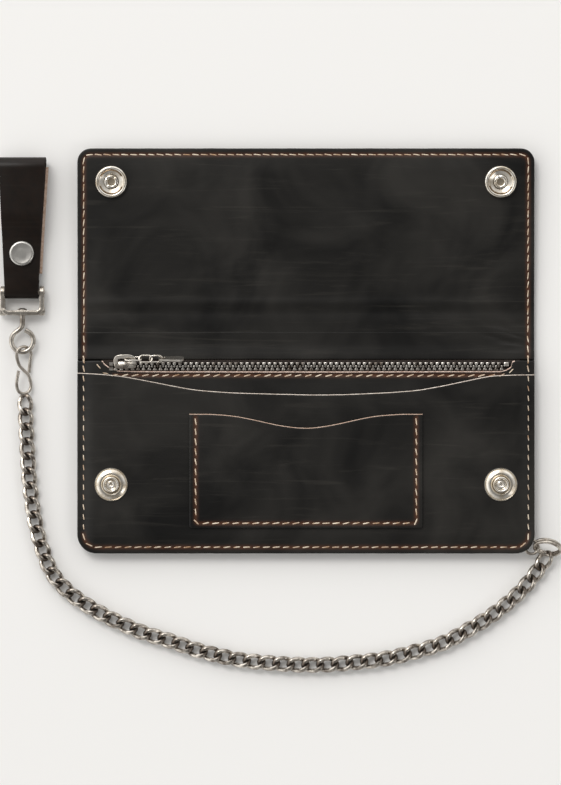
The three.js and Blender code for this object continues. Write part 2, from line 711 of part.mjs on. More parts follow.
// A figure-of-eight wire hook: its upper loop holds the swivel's eye, its lower loop the chain. It runs
// from a free end at the upper right, round each loop, to a free end at the lower left.
function hook() {
  const r = HOOK_W / 2;
  const upperY = hookTopY - r;
  const lowerY = hookLowY + r;
  const middleY = (upperY + lowerY) / 2;
  const rise = EYE_WIRE / 2 + HOOK_WIRE / 2 + GAP;
  const points = [
    [r * 0.7, upperY - r * 1.1, -rise],
    [r * 0.95, upperY, -rise],
    [r * 0.5, upperY + r * 0.75, -rise * 0.9],
    [0, upperY + r, 0],
    [-r * 0.5, upperY + r * 0.75, rise * 0.9],
    [-r * 0.95, upperY, rise],
    [-r * 0.6, middleY + r, rise * 0.9],
    [0, middleY, 0],
    [r * 0.6, middleY - r, -rise * 0.7],
    [r, lowerY, -rise * 0.7],
    [0, lowerY - r, 0],
    [-r, lowerY, rise * 0.7],
    [-r * 0.8, lowerY + r, rise * 0.7],
  ];
  return place(piece("s_hook", wireAlong(points, HOOK_WIRE, 44), antiqueNickel), swivelX + 0.6, 0, swivelZ);
}

// ---- Swivel and belt loop ----

function swivelEye() {
  const ring = wireRing(EYE_R, EYE_WIRE, 0, 0, 8, 24);
  const shankY0 = EYE_R;
  const plateIn = CLEVIS_Y + CLEVIS_T + GAP - eyeY;
  const along = (r, y0, y1) => new THREE.CylinderGeometry(r, r, y1 - y0, 16).translate(0, (y0 + y1) / 2, 0);
  const head = along(SHANK_HEAD_R, plateIn, plateIn + SHANK_HEAD_H);
  const eye = join(ring, along(SHANK_R, shankY0, plateIn + GAP), head);
  return place(piece("swivel_eye", eye, antiqueNickel), swivelX, eyeY, swivelZ);
}

function clevis() {
  const halfW = CLEVIS_W / 2;
  const halfD = CLEVIS_DEPTH / 2;
  const y1 = CLEVIS_Y + CLEVIS_H;
  const block = box(-halfW, halfW, CLEVIS_Y, y1, -halfD, halfD);
  const inside = box(-halfW + CLEVIS_T, halfW - CLEVIS_T, CLEVIS_Y + CLEVIS_T, y1 + 1, -halfD - 1, halfD + 1);
  const shankHole = new THREE.CylinderGeometry(SHANK_R + GAP, SHANK_R + GAP, 8, 16).translate(0, CLEVIS_Y, 0);
  const barHole = rod(BAR_R + GAP, CLEVIS_W + 2, barY, 0);
  const frame = cut(block, inside, shankHole, barHole);
  const bar = rod(BAR_R, CLEVIS_W, barY, 0);
  return [
    place(piece("swivel_clevis", frame, antiqueNickel), swivelX, 0, swivelZ),
    place(piece("strap_bar", bar, antiqueNickel), swivelX, 0, swivelZ),
  ];
}

// Plan outline of the strap: full width at the top, narrowing to fit between the clevis ears.
function strapOutline(y0, y1) {
  const wide = STRAP_W / 2;
  const narrow = strapEndW / 2;
  const narrowY = barY - strapEyeR;
  const halfAt = (y) =>
    y >= STRAP_TAPER_Y ? wide : narrow + ((wide - narrow) * (y - narrowY)) / (STRAP_TAPER_Y - narrowY);
  const s = new THREE.Shape();
  s.moveTo(-halfAt(y0), y0);
  s.lineTo(halfAt(y0), y0);
  if (y0 < STRAP_TAPER_Y) s.lineTo(wide, STRAP_TAPER_Y);
  s.lineTo(wide, y1);
  s.lineTo(-wide, y1);
  if (y0 < STRAP_TAPER_Y) s.lineTo(-wide, STRAP_TAPER_Y);
  return s;
}

// Height of the front leg's upper face at a place along the strap.
function frontLegTop(y) {
  const eyeTop = swivelZ + strapEyeR;
  const between = (y0, z0, y1, z1) => z0 + ((z1 - z0) * (y - y0)) / (y1 - y0);
  if (y < STRAP_PINCH_Y) return between(barY, eyeTop, STRAP_PINCH_Y, strapPinchTop);
  return Math.min(between(STRAP_PINCH_Y, strapPinchTop, STRAP_FULL_Y, STRAP_LOOP_TOP), STRAP_LOOP_TOP);
}

// Round the bar, up the front, and over the top fold.
function beltStrap() {
  const eyeTop = swivelZ + strapEyeR;
  const innerR = strapLoopR - STRAP_T;
  const joinY = barY + strapEyeR * 1.8;
  const s = new THREE.Shape();
  s.moveTo(barY, eyeTop);
  s.absarc(barY, swivelZ, strapEyeR, Math.PI / 2, Math.PI * 2.12);
  s.lineTo(joinY, frontLegTop(joinY) - STRAP_T);
  s.lineTo(STRAP_PINCH_Y, strapPinchTop - STRAP_T);
  s.lineTo(STRAP_FULL_Y, STRAP_LOOP_TOP - STRAP_T);
  s.lineTo(strapFoldY, STRAP_LOOP_TOP - STRAP_T);
  s.absarc(strapFoldY, strapLoopZ, innerR, Math.PI / 2, Math.asin(GAP / 2 / innerR) - Math.PI / 2, true);
  s.absarc(strapFoldY, strapLoopZ, strapLoopR, Math.asin(GAP / 2 / strapLoopR) - Math.PI / 2, Math.PI / 2);
  s.lineTo(STRAP_FULL_Y, STRAP_LOOP_TOP);
  s.lineTo(STRAP_PINCH_Y, strapPinchTop);
  const drawn = alongX(s, -STRAP_W / 2, STRAP_W / 2, 8);
  const plan = sheet(strapOutline(barY - strapEyeR - 1, STRAP_TOP_Y + 1), -1, STRAP_LOOP_TOP + 1);
  const barHole = rod(BAR_R + GAP, STRAP_W + 2, barY, swivelZ);
  const postHole = disc(holeR, 0, STRAP_LOOP_TOP + 1).translate(0, STRAP_SNAP_Y, 0);
  const strap = cut(common(drawn, plan), barHole, postHole);
  return place(piece("belt_strap", strap, leather), swivelX, 0, 0);
}

function strapTail() {
  const tail = sheet(strapOutline(TAIL_END_Y, strapFoldY - GAP / 2), STRAP_BASE, STRAP_BASE + STRAP_T);
  const postHole = disc(holeR, -1, STRAP_BASE + STRAP_T + 1).translate(0, STRAP_SNAP_Y, 0);
  return place(piece("strap_tail", cut(tail, postHole), leather), swivelX, 0, 0);
}

// The snap that closes the loop: cap and socket on the front leg, stud and post on the tail.
function strapSnap() {
  const capBase = frontLegTop(STRAP_SNAP_Y + STRAP_CAP_R) + GAP;
  const socketTop = frontLegTop(STRAP_SNAP_Y - STRAP_CAP_R) - STRAP_T - GAP;
  const socketLow = socketTop - STRAP_SOCKET_H;
  const plateLow = socketTop - SNAP_METAL_T;
  const studBase = STRAP_BASE + STRAP_T + GAP;
  const studTop = plateLow - GAP;
  const postHead = STRAP_BASE - GAP / 2;
  const cap = turned([
    [0, plateLow],
    [SNAP_POST_R, plateLow],
    [SNAP_POST_R, capBase],
    [STRAP_CAP_R, capBase],
    [STRAP_CAP_R, capBase + STRAP_CAP_H * 0.6],
    [STRAP_CAP_R * 0.85, capBase + STRAP_CAP_H],
    [0, capBase + STRAP_CAP_H],
  ]);
  const socket = turned([
    [holeR, plateLow],
    [NUB_R + GAP, plateLow],
    [NUB_R + GAP, socketLow],
    [STRAP_CAP_R, socketLow],
    [STRAP_CAP_R, socketTop],
    [holeR, socketTop],
    [holeR, plateLow],
  ]);
  const stud = turned([
    [holeR, studBase],
    [STRAP_CAP_R, studBase],
    [STRAP_CAP_R, studBase + loopStudT],
    [NUB_R, studBase + loopStudT],
    [NUB_R, studTop],
    [holeR, studTop],
    [holeR, studBase],
  ]);
  const post = turned([
    [0, 0],
    [STRAP_CAP_R * 0.7, 0],
    [STRAP_CAP_R * 0.8, postHead],
    [SNAP_POST_R, postHead],
    [SNAP_POST_R, studTop],
    [0, studTop],
  ]);
  const at = (name, g) => place(piece(name, g, nickel), swivelX, STRAP_SNAP_Y, 0);
  return [at("strap_cap", cap), at("strap_socket", socket), at("strap_stud", stud), at("strap_post", post)];
}

// ---- Assembly ----

const wallet = new THREE.Group();
wallet.add(
  outerShellBack(),
  zipPocketLeather(),
  zipTape("zip_tape_front", -1),
  zipTape("zip_tape_rear", 1),
  toothRow("zip_teeth_front", -1),
  toothRow("zip_teeth_rear", 1),
  ...zipStops(),
  frontPanel(),
  cardPocket(),
  ...studAndPost("left", -snapX),
  ...studAndPost("right", snapX),
  ...spine(),
  flap(),
  slider(),
  sliderPull(),
  ...anchor(),
  splitRing(),
  chain(),
  hook(),
  swivelEye(),
  ...clevis(),
  beltStrap(),
  strapTail(),
  ...strapSnap(),
);

export default wallet;
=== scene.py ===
import math

import bmesh
import bpy
import numpy as np
from mathutils import Matrix, Vector


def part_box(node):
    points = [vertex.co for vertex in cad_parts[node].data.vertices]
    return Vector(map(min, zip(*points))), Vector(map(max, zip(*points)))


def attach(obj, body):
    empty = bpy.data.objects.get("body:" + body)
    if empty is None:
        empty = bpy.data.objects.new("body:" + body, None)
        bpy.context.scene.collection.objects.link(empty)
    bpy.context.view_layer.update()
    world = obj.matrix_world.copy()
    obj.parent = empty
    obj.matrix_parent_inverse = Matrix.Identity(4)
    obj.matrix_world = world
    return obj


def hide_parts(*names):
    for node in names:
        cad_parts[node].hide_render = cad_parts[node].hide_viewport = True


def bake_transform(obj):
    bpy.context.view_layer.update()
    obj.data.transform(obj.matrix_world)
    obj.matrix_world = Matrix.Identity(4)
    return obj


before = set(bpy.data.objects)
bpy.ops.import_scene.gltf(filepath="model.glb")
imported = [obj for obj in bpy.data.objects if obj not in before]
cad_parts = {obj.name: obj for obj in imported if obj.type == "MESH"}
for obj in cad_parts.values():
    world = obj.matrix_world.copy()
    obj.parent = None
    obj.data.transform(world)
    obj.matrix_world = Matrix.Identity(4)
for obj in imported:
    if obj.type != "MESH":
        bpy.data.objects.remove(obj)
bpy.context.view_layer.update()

# ---------------------------------------------------------------- Table, light and camera
# The wallet lies open on a pale paper sweep in a soft room, brighter towards the upper left, with a
# large lamp there and a weak fill, and is seen from straight above.
MM = 0.001  # every size below is in millimetres


def add_node(tree, kind, settings=None, sockets=None):
    """One shader node. A socket takes a plain value, or another node's output to link."""
    made = tree.nodes.new(kind)
    for key, value in (settings or {}).items():
        setattr(made, key, value)
    for key, value in (sockets or {}).items():
        if isinstance(value, bpy.types.NodeSocket):
            tree.links.new(value, made.inputs[key])
        else:
            made.inputs[key].default_value = value
    return made


def mixed(tree, mask, first, second):
    """A colour that goes from first to second as the mask goes from 0 to 1."""
    return add_node(
        tree, "ShaderNodeMix", {"data_type": "RGBA"}, {0: mask, 6: first, 7: second}
    ).outputs[2]


def ranged(tree, value, limits, result=(0.0, 1.0)):
    """A value stretched from the given limits to the result's."""
    sockets = {"Value": value, "From Min": limits[0], "From Max": limits[1]}
    sockets.update({"To Min": result[0], "To Max": result[1]})
    return add_node(tree, "ShaderNodeMapRange", None, sockets).outputs[0]


def relief(tree, height, strength, distance):
    """A normal bent by a height, whose full swing is distance in millimetres."""
    sockets = {"Height": height, "Strength": strength, "Distance": distance * MM}
    return add_node(tree, "ShaderNodeBump", None, sockets).outputs[0]


def box_of(node):
    """A node's lower and upper corners in millimetres."""
    low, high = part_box(node)
    return np.array(low) / MM, np.array(high) / MM


def start_material(name):
    made = bpy.data.materials.new(name)
    made.use_nodes = True
    tree = made.node_tree
    return made, tree, tree.nodes["Principled BSDF"]


paper, tree, shader = start_material("paper_sweep")
shader.inputs["Base Color"].default_value = (0.86, 0.855, 0.845, 1)
shader.inputs["Roughness"].default_value = 0.9
shader.inputs["Specular IOR Level"].default_value = 0.1
bpy.ops.mesh.primitive_plane_add(size=6, location=(0, 0, -0.02 * MM))
floor = bpy.context.object
floor.name = "paper_floor"
floor.data.materials.append(paper)

world = bpy.data.worlds.new("soft_room")
world.use_nodes = True
sky = world.node_tree
toward = add_node(sky, "ShaderNodeTexCoord").outputs["Generated"]
height = add_node(sky, "ShaderNodeSeparateXYZ", None, {0: toward}).outputs["Z"]
glow = add_node(
    sky,
    "ShaderNodeMapRange",
    {"interpolation_type": "SMOOTHSTEP"},
    {"Value": height, "From Min": 0.5, "From Max": 0.98, "To Min": 1.1, "To Max": 0.25},
)
window = add_node(
    sky, "ShaderNodeVectorMath", {"operation": "DOT_PRODUCT"}, {0: toward, 1: (-0.64, 0.77, 0)}
).outputs["Value"]
window = ranged(sky, window, (-0.75, 0.75), (0.3, 1.7))
strength = add_node(sky, "ShaderNodeMath", {"operation": "MULTIPLY"}, {0: glow.outputs[0], 1: window})
sky.links.new(strength.outputs[0], sky.nodes["Background"].inputs["Strength"])
sky.nodes["Background"].inputs["Color"].default_value = (1, 0.99, 0.975, 1)
bpy.context.scene.world = world


def soft_lamp(name, place, size, watts, colour=(1, 0.98, 0.95)):
    lamp = bpy.data.lights.new(name, "AREA")
    lamp.shape = "DISK"
    lamp.size = size
    lamp.energy = watts
    lamp.color = colour
    made = bpy.data.objects.new(name, lamp)
    made.location = place
    made.rotation_mode = "QUATERNION"
    made.rotation_quaternion = Vector(place).to_track_quat("Z", "Y")
    bpy.context.scene.collection.objects.link(made)


soft_lamp("key_upper_left", (-1.1, 1.9, 2.7), 1.5, 42)
soft_lamp("fill_right", (1.6, -0.9, 1.6), 1.2, 5)

VIEW_CENTRE = (-10.6, 25.1)
VIEW_HEIGHT = 327.1  # what the frame's long side takes in at the wallet's height
CAMERA_UP = 1500
camera_data = bpy.data.cameras.new("above")
camera_data.sensor_width = 36
camera_data.lens = CAMERA_UP * camera_data.sensor_width / VIEW_HEIGHT
camera_data.clip_start, camera_data.clip_end = 0.05, 50
camera = bpy.data.objects.new("above", camera_data)
camera.location = (VIEW_CENTRE[0] * MM, VIEW_CENTRE[1] * MM, (CAMERA_UP + 5) * MM)
bpy.context.scene.collection.objects.link(camera)
bpy.context.scene.camera = camera
bpy.context.scene.view_settings.view_transform = "Standard"

# ---------------------------------------------------------------- Curb chain
# Tumbled nickel-plated steel wire, cut and closed into ovals, each twisted a quarter turn so that the
# chain lies flat. It lies in one loose curve from the hook to the split ring.
CHAIN_ROUTE = [
    (-117.2, 23.2), (-116.9, 13.2), (-116.0, -3.7), (-114.9, -16.4), (-113.0, -29.3), (-110.1, -40.1),
    (-105.8, -50.5), (-98.6, -58.5), (-90.1, -64.5), (-79.9, -70.0), (-68.0, -75.1), (-56.9, -78.5),
    (-44.0, -82.8), (-29.2, -86.2), (-17.4, -87.6), (-4.0, -88.5), (8.3, -88.5), (20.0, -87.6),
    (33.2, -86.0), (44.9, -83.3), (57.2, -79.5), (67.9, -73.9), (78.6, -67.2), (87.9, -59.5),
    (94.6, -52.1), (98.4, -46.6), (101.2, -42.6),
]
CHAIN_WIRE = 1.85
LINK_PITCH = 6.17
LINK_WIDTH = 6.8
LINK_TWIST = math.radians(-45)
CHAIN_Z = 2.3


def smooth_line(points, step, closed=False):
    """Points about step apart along a Catmull-Rom curve through the given ones."""
    p = np.array(points, float)
    p = np.vstack([p[-1:], p, p[:2]]) if closed else np.vstack([2 * p[0] - p[1], p, 2 * p[-1] - p[-2]])
    t = np.linspace(0, 1, 24, endpoint=False)[:, None]
    fine = []
    for a, b, c, d in zip(p, p[1:], p[2:], p[3:]):
        fine.append(
            0.5 * (2 * b + (c - a) * t + (2 * a - 5 * b + 4 * c - d) * t**2 + (3 * b - a - 3 * c + d) * t**3)
        )
    fine = np.vstack(fine + [p[-2:-1]])
    along = np.concatenate([[0], np.cumsum(np.linalg.norm(np.diff(fine, axis=0), axis=1))])
    at = np.linspace(0, along[-1], max(3, round(along[-1] / step) + 1))
    even = np.stack([np.interp(at, along, fine[:, k]) for k in range(p.shape[1])], axis=1)
    return even[:-1] if closed else even


def swept(points, section, closed=False, up=None):
    """Rings of a section carried along points. With up, the section keeps its first axis level."""
    p = np.array(points, float)
    t = np.roll(p, -1, 0) - np.roll(p, 1, 0)
    if not closed:
        t[0], t[-1] = p[1] - p[0], p[-1] - p[-2]
    t /= np.linalg.norm(t, axis=1)[:, None]
    side = np.zeros_like(t)
    if up is not None:
        side = np.cross(np.broadcast_to(up, t.shape), t)
        side /= np.linalg.norm(side, axis=1)[:, None]
    else:
        start = np.cross(t[0], (0, 0, 1.0))
        if np.linalg.norm(start) < 0.1:
            start = np.cross(t[0], (0, 1.0, 0))
        side[0] = start / np.linalg.norm(start)
        for i in range(1, len(p)):
            s = side[i - 1] - (side[i - 1] @ t[i]) * t[i]
            side[i] = s / np.linalg.norm(s)
    other = np.cross(t, side)
    section = np.array(section, float)
    if section.ndim == 2:
        section = np.broadcast_to(section, (len(p), *section.shape))
    return p[:, None] + section[..., :1] * side[:, None] + section[..., 1:] * other[:, None]


def circle(radius, sides):
    a = np.arange(sides) * 2 * math.pi / sides
    return np.stack([radius * np.cos(a), radius * np.sin(a)], axis=1)


def skin(rings, closed=False, caps=True):
    """Vertices and faces of a skin over rings, joined end to end if closed, else capped."""
    n, m = rings.shape[:2]
    first = rings[0]
    shift = 0
    if closed:  # the nearest start for the last ring's join, so that it doesn't twist
        gaps = [np.linalg.norm(np.roll(first, -s, 0) - rings[-1], axis=1).sum() for s in range(m)]
        shift = int(np.argmin(gaps))
    faces = []
    for i in range(n if closed else n - 1):
        j, s = (i + 1) % n, shift if i == n - 1 else 0
        for k in range(m):
            l = (k + 1) % m
            faces.append((i * m + k, i * m + l, j * m + (l + s) % m, j * m + (k + s) % m))
    if caps and not closed:
        faces += [tuple(range(m - 1, -1, -1)), tuple((n - 1) * m + k for k in range(m))]
    return rings.reshape(-1, 3), faces


def make_piece(name, parts, materials, body=None, replaced=(), sharp=40, values=None):
    """One mesh piece from (vertices, faces[, material numbers]) parts in millimetres."""
    vertices, faces, numbers = [], [], []
    for part in parts:
        offset = sum(len(v) for v in vertices)
        vertices.append(np.asarray(part[0], float))
        faces += [tuple(int(i) + offset for i in f) for f in part[1]]
        numbers += list(part[2]) if len(part) > 2 else [0] * len(part[1])
    mesh = bpy.data.meshes.new(name)
    mesh.from_pydata((np.vstack(vertices) * MM).tolist(), [], faces)
    for material in materials:
        mesh.materials.append(material)
    mesh.polygons.foreach_set("material_index", numbers)
    for key, value in (values or {}).items():
        mesh.attributes.new(key, "FLOAT", "POINT").data.foreach_set("value", np.asarray(value, np.float32))
    shaped = bmesh.new()
    shaped.from_mesh(mesh)
    bmesh.ops.recalc_face_normals(shaped, faces=shaped.faces)
    shaped.to_mesh(mesh)
    shaped.free()
    mesh.polygons.foreach_set("use_smooth", [True] * len(mesh.polygons))
    mesh.set_sharp_from_angle(angle=math.radians(sharp))
    made = bpy.data.objects.new(name, mesh)
    bpy.context.scene.collection.objects.link(made)
    if body:
        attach(made, body)
    if replaced:
        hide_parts(*replaced)
    return made


def wear_group():
    """Uneven tarnish, fine scratches and tiny dents for any metal."""
    group = bpy.data.node_groups.new("metal_wear", "ShaderNodeTree")
    for name, start in (("Tarnish Size", 300.0), ("Scratch Size", 2500.0), ("Dent Size", 900.0)):
        group.interface.new_socket(name, in_out="INPUT", socket_type="NodeSocketFloat").default_value = start
    for name in ("Tarnish", "Scratches", "Height"):
        group.interface.new_socket(name, in_out="OUTPUT", socket_type="NodeSocketFloat")
    given = group.nodes.new("NodeGroupInput")
    result = group.nodes.new("NodeGroupOutput")
    place = add_node(group, "ShaderNodeTexCoord").outputs["Object"]
    cloud = add_node(
        group,
        "ShaderNodeTexNoise",
        None,
        {"Vector": place, "Scale": given.outputs["Tarnish Size"], "Detail": 4.0, "Roughness": 0.62},
    )
    patches = ranged(group, cloud.outputs[0], (0.36, 0.66))
    squeezed = add_node(
        group,
        "ShaderNodeMapping",
        None,
        {"Vector": place, "Rotation": (0.4, 0.3, 0.7), "Scale": (1, 0.06, 1)},
    )
    lines = add_node(
        group,
        "ShaderNodeTexNoise",
        None,
        {"Vector": squeezed.outputs[0], "Scale": given.outputs["Scratch Size"], "Detail": 2.0},
    )
    scratches = ranged(group, lines.outputs[0], (0.5, 0.75))
    dents = add_node(
        group,
        "ShaderNodeTexNoise",
        None,
        {"Vector": place, "Scale": given.outputs["Dent Size"], "Detail": 3.0},
    )
    group.links.new(patches, result.inputs["Tarnish"])
    group.links.new(scratches, result.inputs["Scratches"])
    group.links.new(dents.outputs[0], result.inputs["Height"])
    return group


METAL_WEAR = wear_group()


def worn_metal(name, bright, dull, smooth, rough, dent, recess_shade=None):
    """Metal that goes from bright to dull in patches, and dull where the attribute recess_shade paints shade
    into hollows, grooves and crossings.
    """
    made, tree, shader = start_material(name)
    wear = add_node(tree, "ShaderNodeGroup", {"node_tree": METAL_WEAR})
    mask = wear.outputs["Tarnish"]
    # Painted shade: the recess_shade attribute darkens the colour towards dull.
    if recess_shade:
        painted_shade = add_node(tree, "ShaderNodeAttribute", {"attribute_name": recess_shade})
        mask = add_node(
            tree, "ShaderNodeMath", {"operation": "MAXIMUM"}, {0: mask, 1: painted_shade.outputs["Fac"]}
        ).outputs[0]
    colour = mixed(tree, mask, (*bright, 1), (*dull, 1))
    both = add_node(
        tree, "ShaderNodeMath", {"operation": "MAXIMUM"}, {0: mask, 1: wear.outputs["Scratches"]}
    )
    roughness = ranged(tree, both.outputs[0], (0.0, 1.0), (smooth, rough))
    tree.links.new(colour, shader.inputs["Base Color"])
    tree.links.new(roughness, shader.inputs["Roughness"])
    tree.links.new(relief(tree, wear.outputs["Height"], 0.35, dent), shader.inputs["Normal"])
    shader.inputs["Metallic"].default_value = 1
    return made


chain_metal = worn_metal(
    "tumbled_chain_nickel", (0.72, 0.67, 0.6), (0.14, 0.115, 0.095), 0.17, 0.32, 0.05, recess_shade="recess_shade"
)


def chain_link(steps=28, sides=9):
    """One link's rings about its own centre, and how deep in the crossing each ring lies, which sets the
    painted shade on the link's ends.
    """
    a = (LINK_PITCH + CHAIN_WIRE) / 2
    b = (LINK_WIDTH - CHAIN_WIRE) / 2
    turn = np.arange(steps) * 2 * math.pi / steps
    x = a * np.sign(np.cos(turn)) * np.abs(np.cos(turn)) ** 0.9
    y = b * np.sign(np.sin(turn)) * np.abs(np.sin(turn)) ** 0.8
    twist = LINK_TWIST * x / a
    line = np.stack([x, y * np.cos(twist), y * np.sin(twist)], axis=1)
    depth = np.clip((np.abs(x) / a - 0.55) / 0.35, 0, 1)
    return swept(line, circle(CHAIN_WIRE / 2, sides), closed=True), np.repeat(depth, sides)


route = smooth_line(CHAIN_ROUTE, LINK_PITCH / 2)
route_length = np.linalg.norm(np.diff(route, axis=0), axis=1).sum()
link_count = round(route_length / LINK_PITCH)
centres = smooth_line(CHAIN_ROUTE, route_length / (link_count * 2))[1::2]
rng = np.random.default_rng(7)
link_rings, link_depth = chain_link()
parts, depths = [], []
for i, centre in enumerate(centres):
    ahead = centres[min(i + 1, len(centres) - 1)] - centres[max(i - 1, 0)]
    heading = math.atan2(ahead[1], ahead[0]) + rng.normal(0, 0.02)
    turn = Matrix.Rotation(heading, 3, "Z") @ Matrix.Rotation(rng.normal(0, 0.07), 3, "X")
    rings = link_rings @ np.array(turn).T + np.array([centre[0], centre[1], CHAIN_Z])
    parts.append(skin(rings, closed=True))
    depths.append(link_depth)
# The link ends, deep in each crossing, get painted shade through recess_shade.
chain = make_piece(
    "curb_chain",
    parts,
    [chain_metal],
    "wallet",
    ["chain"],
    values={"recess_shade": np.concatenate(depths)},
)

# ---------------------------------------------------------------- Hook, swivel and clevis
# The hook is one bent wire in a figure of eight, the swivel's eye is a thicker bent wire riveted
# through the clevis, and the clevis is a bent flat bar with a cross bar for the strap.
HOOK_WIRE = 1.35
EYE_WIRE = 2.0
EYE_R = 4.6

steel = worn_metal("swivel_nickel", (0.66, 0.615, 0.55), (0.22, 0.19, 0.16), 0.2, 0.36, 0.05)
hook_low, hook_high = box_of("s_hook")
eye_low, eye_high = box_of("swivel_eye")
hook_x = (hook_low[0] + hook_high[0]) / 2
swivel_x = (eye_low[0] + eye_high[0]) / 2
swivel_z = (eye_low[2] + eye_high[2]) / 2
loop_r = (hook_high[0] - hook_low[0] - HOOK_WIRE) / 2
top_y = hook_high[1] - HOOK_WIRE / 2 - loop_r
low_y = hook_low[1] + HOOK_WIRE / 2 + loop_r
middle_y = (top_y + low_y) / 2
RISE = 1.85
hook_line = smooth_line(
    [
        (loop_r * 0.72, middle_y - 1.0, -RISE * 0.75),
        (loop_r * 0.78, middle_y + 1.2, -RISE * 0.85),
        (loop_r * 0.86, top_y - loop_r * 1.0, -RISE * 0.95),
        (loop_r * 0.97, top_y, -RISE * 0.9),
        (loop_r * 0.55, top_y + loop_r * 0.78, -RISE * 0.8),
        (-loop_r * 0.1, top_y + loop_r * 0.98, 0),
        (-loop_r * 0.7, top_y + loop_r * 0.62, RISE * 0.8),
        (-loop_r * 0.97, top_y - loop_r * 0.2, RISE * 0.9),
        (-loop_r * 0.62, middle_y + loop_r * 0.75, RISE * 0.6),
        (0, middle_y, RISE * 0.15),
        (loop_r * 0.68, middle_y - loop_r * 0.8, -RISE * 0.45),
        (loop_r * 0.98, low_y + loop_r * 0.1, -RISE * 0.6),
        (loop_r * 0.62, low_y - loop_r * 0.72, -RISE * 0.3),
        (-loop_r * 0.1, low_y - loop_r * 0.98, 0),
        (-loop_r * 0.75, low_y - loop_r * 0.6, RISE * 0.3),
        (-loop_r * 0.98, low_y + loop_r * 0.25, RISE * 0.5),
        (-loop_r * 0.9, low_y + loop_r * 1.2, RISE * 0.6),
        (-loop_r * 0.7, middle_y - 0.2, RISE * 0.75),
    ],
    0.45,
) + np.array([hook_x, 0, swivel_z])
s_hook = make_piece(
    "figure_eight_hook",
    [skin(swept(hook_line, circle(HOOK_WIRE / 2, 12)))],
    [steel],
    "wallet",
    ["s_hook"],
)

eye_y = eye_low[1] + EYE_WIRE / 2 + EYE_R
around = [
    (EYE_R * math.sin(math.radians(a)), eye_y + EYE_R * math.cos(math.radians(a)), 0)
    for a in range(-30, -336, -18)
]
eye_line = smooth_line(
    [(0, eye_high[1] - 0.8, 0), (0, eye_y + EYE_R + 4, 0), (-0.3, eye_y + EYE_R + 1.3, 0)]
    + around
    + [(1.15, eye_y + EYE_R - 0.1, 0)],
    0.5,
) + np.array([swivel_x, 0, swivel_z])
narrow = np.interp(eye_line[:, 1], [eye_y + EYE_R + 0.5, eye_y + EYE_R + 2.5], [1.0, 1.12])
eye_rings = swept(eye_line, circle(EYE_WIRE / 2, 14)[None] * narrow[:, None, None])


def turned(profile, segments=48, wobble=None):
    """A skin turned about +Z from (radius, height) points; wobble(angle, radius) shifts heights."""
    a = np.arange(segments) * 2 * math.pi / segments
    r, z = np.array(profile, float).T
    rings = np.zeros((len(profile), segments, 3))
    rings[..., 0] = r[:, None] * np.cos(a)
    rings[..., 1] = r[:, None] * np.sin(a)
    rings[..., 2] = z[:, None] + (wobble(a[None], r[:, None]) if wobble else 0)
    return skin(rings)


def moved(part, matrix=None, shift=(0, 0, 0)):
    vertices = np.asarray(part[0], float)
    if matrix is not None:
        vertices = vertices @ np.array(matrix)[:3, :3].T
    return (vertices + np.array(shift, float), *part[1:])


ALONG_Y = Matrix.Rotation(math.radians(-90), 3, "X")
ALONG_X = Matrix.Rotation(math.radians(90), 3, "Y")
rivet_head = turned([(0.2, 0), (2.0, 0), (2.05, 0.35), (1.7, 0.85), (0.9, 1.15), (0.2, 1.2)], 32)
make_piece(
    "swivel_eye_wire",
    [skin(eye_rings), moved(rivet_head, ALONG_Y, (swivel_x, eye_high[1] - 1.2, swivel_z))],
    [steel],
    "wallet",
    ["swivel_eye"],
)

clevis_low, clevis_high = box_of("swivel_clevis")
BAR_T = 1.9
FRAME_CORNER = 2.4
half_w = (clevis_high[0] - clevis_low[0] - BAR_T) / 2
half_d = (clevis_high[2] - clevis_low[2]) / 2
base_y, ear_y = clevis_low[1] + BAR_T / 2, clevis_high[1] - 1.4
corner = [math.radians(a) for a in range(180, 271, 15)]
left = [(FRAME_CORNER * (1 + math.cos(a)), FRAME_CORNER * (1 + math.sin(a))) for a in corner]
u_shape = [(-half_w, ear_y), *((-half_w + x, base_y + y) for x, y in left)]
u_shape += [(-2.6, base_y), (0, base_y)]
u_shape += [(-x, y) for x, y in reversed(u_shape[:-1])]
u_line = [(swivel_x + x, y, swivel_z) for x, y in u_shape]


def rounded_bar(half_u, half_v, r, steps=4):
    """Section of a flat bar with rounded edges."""
    out = []
    for cx, cy, start in ((1, 1, 0), (-1, 1, 90), (-1, -1, 180), (1, -1, 270)):
        for i in range(steps + 1):
            a = math.radians(start + 90 * i / steps)
            out.append((cx * (half_u - r) + r * math.cos(a), cy * (half_v - r) + r * math.sin(a)))
    return np.array(out)


swell = np.array([1 + 0.16 * math.exp(-((x / 3.2) ** 2)) for x, _ in u_shape])
depth_of = np.array([1.0 if abs(x) < half_w - 0.1 else 0.92 for x, _ in u_shape])
bar_section = rounded_bar(BAR_T / 2, half_d * 0.8, 0.45)
sections = bar_section[None] * np.stack([swell, depth_of], axis=1)[:, None]
ears = []
bar_low, bar_high = box_of("strap_bar")
bar_y = (bar_low[1] + bar_high[1]) / 2
ear_disc = [(0.3, 0), (2.35, 0), (2.6, 0.25), (2.6, BAR_T - 0.25), (2.35, BAR_T), (0.3, BAR_T)]
for side in (-1, 1):
    at = swivel_x + side * half_w - BAR_T / 2
    ears.append(moved(turned(ear_disc, 36), ALONG_X, (at, bar_y, swivel_z)))
    curl = [(0.3, 0), (1.5, 0), (1.9, 0.35), (1.9, 2.1), (1.5, 2.45), (0.3, 2.45)]
    curl_at = (swivel_x + side * half_w - 1.22, base_y + 0.75, swivel_z)
    ears.append(moved(turned(curl, 36), ALONG_X, curl_at))
make_piece(
    "clevis_frame",
    [skin(swept(u_line, sections, up=(0, 0, 1.0))), *ears],
    [steel],
    "clevis",
    ["swivel_clevis"],
)
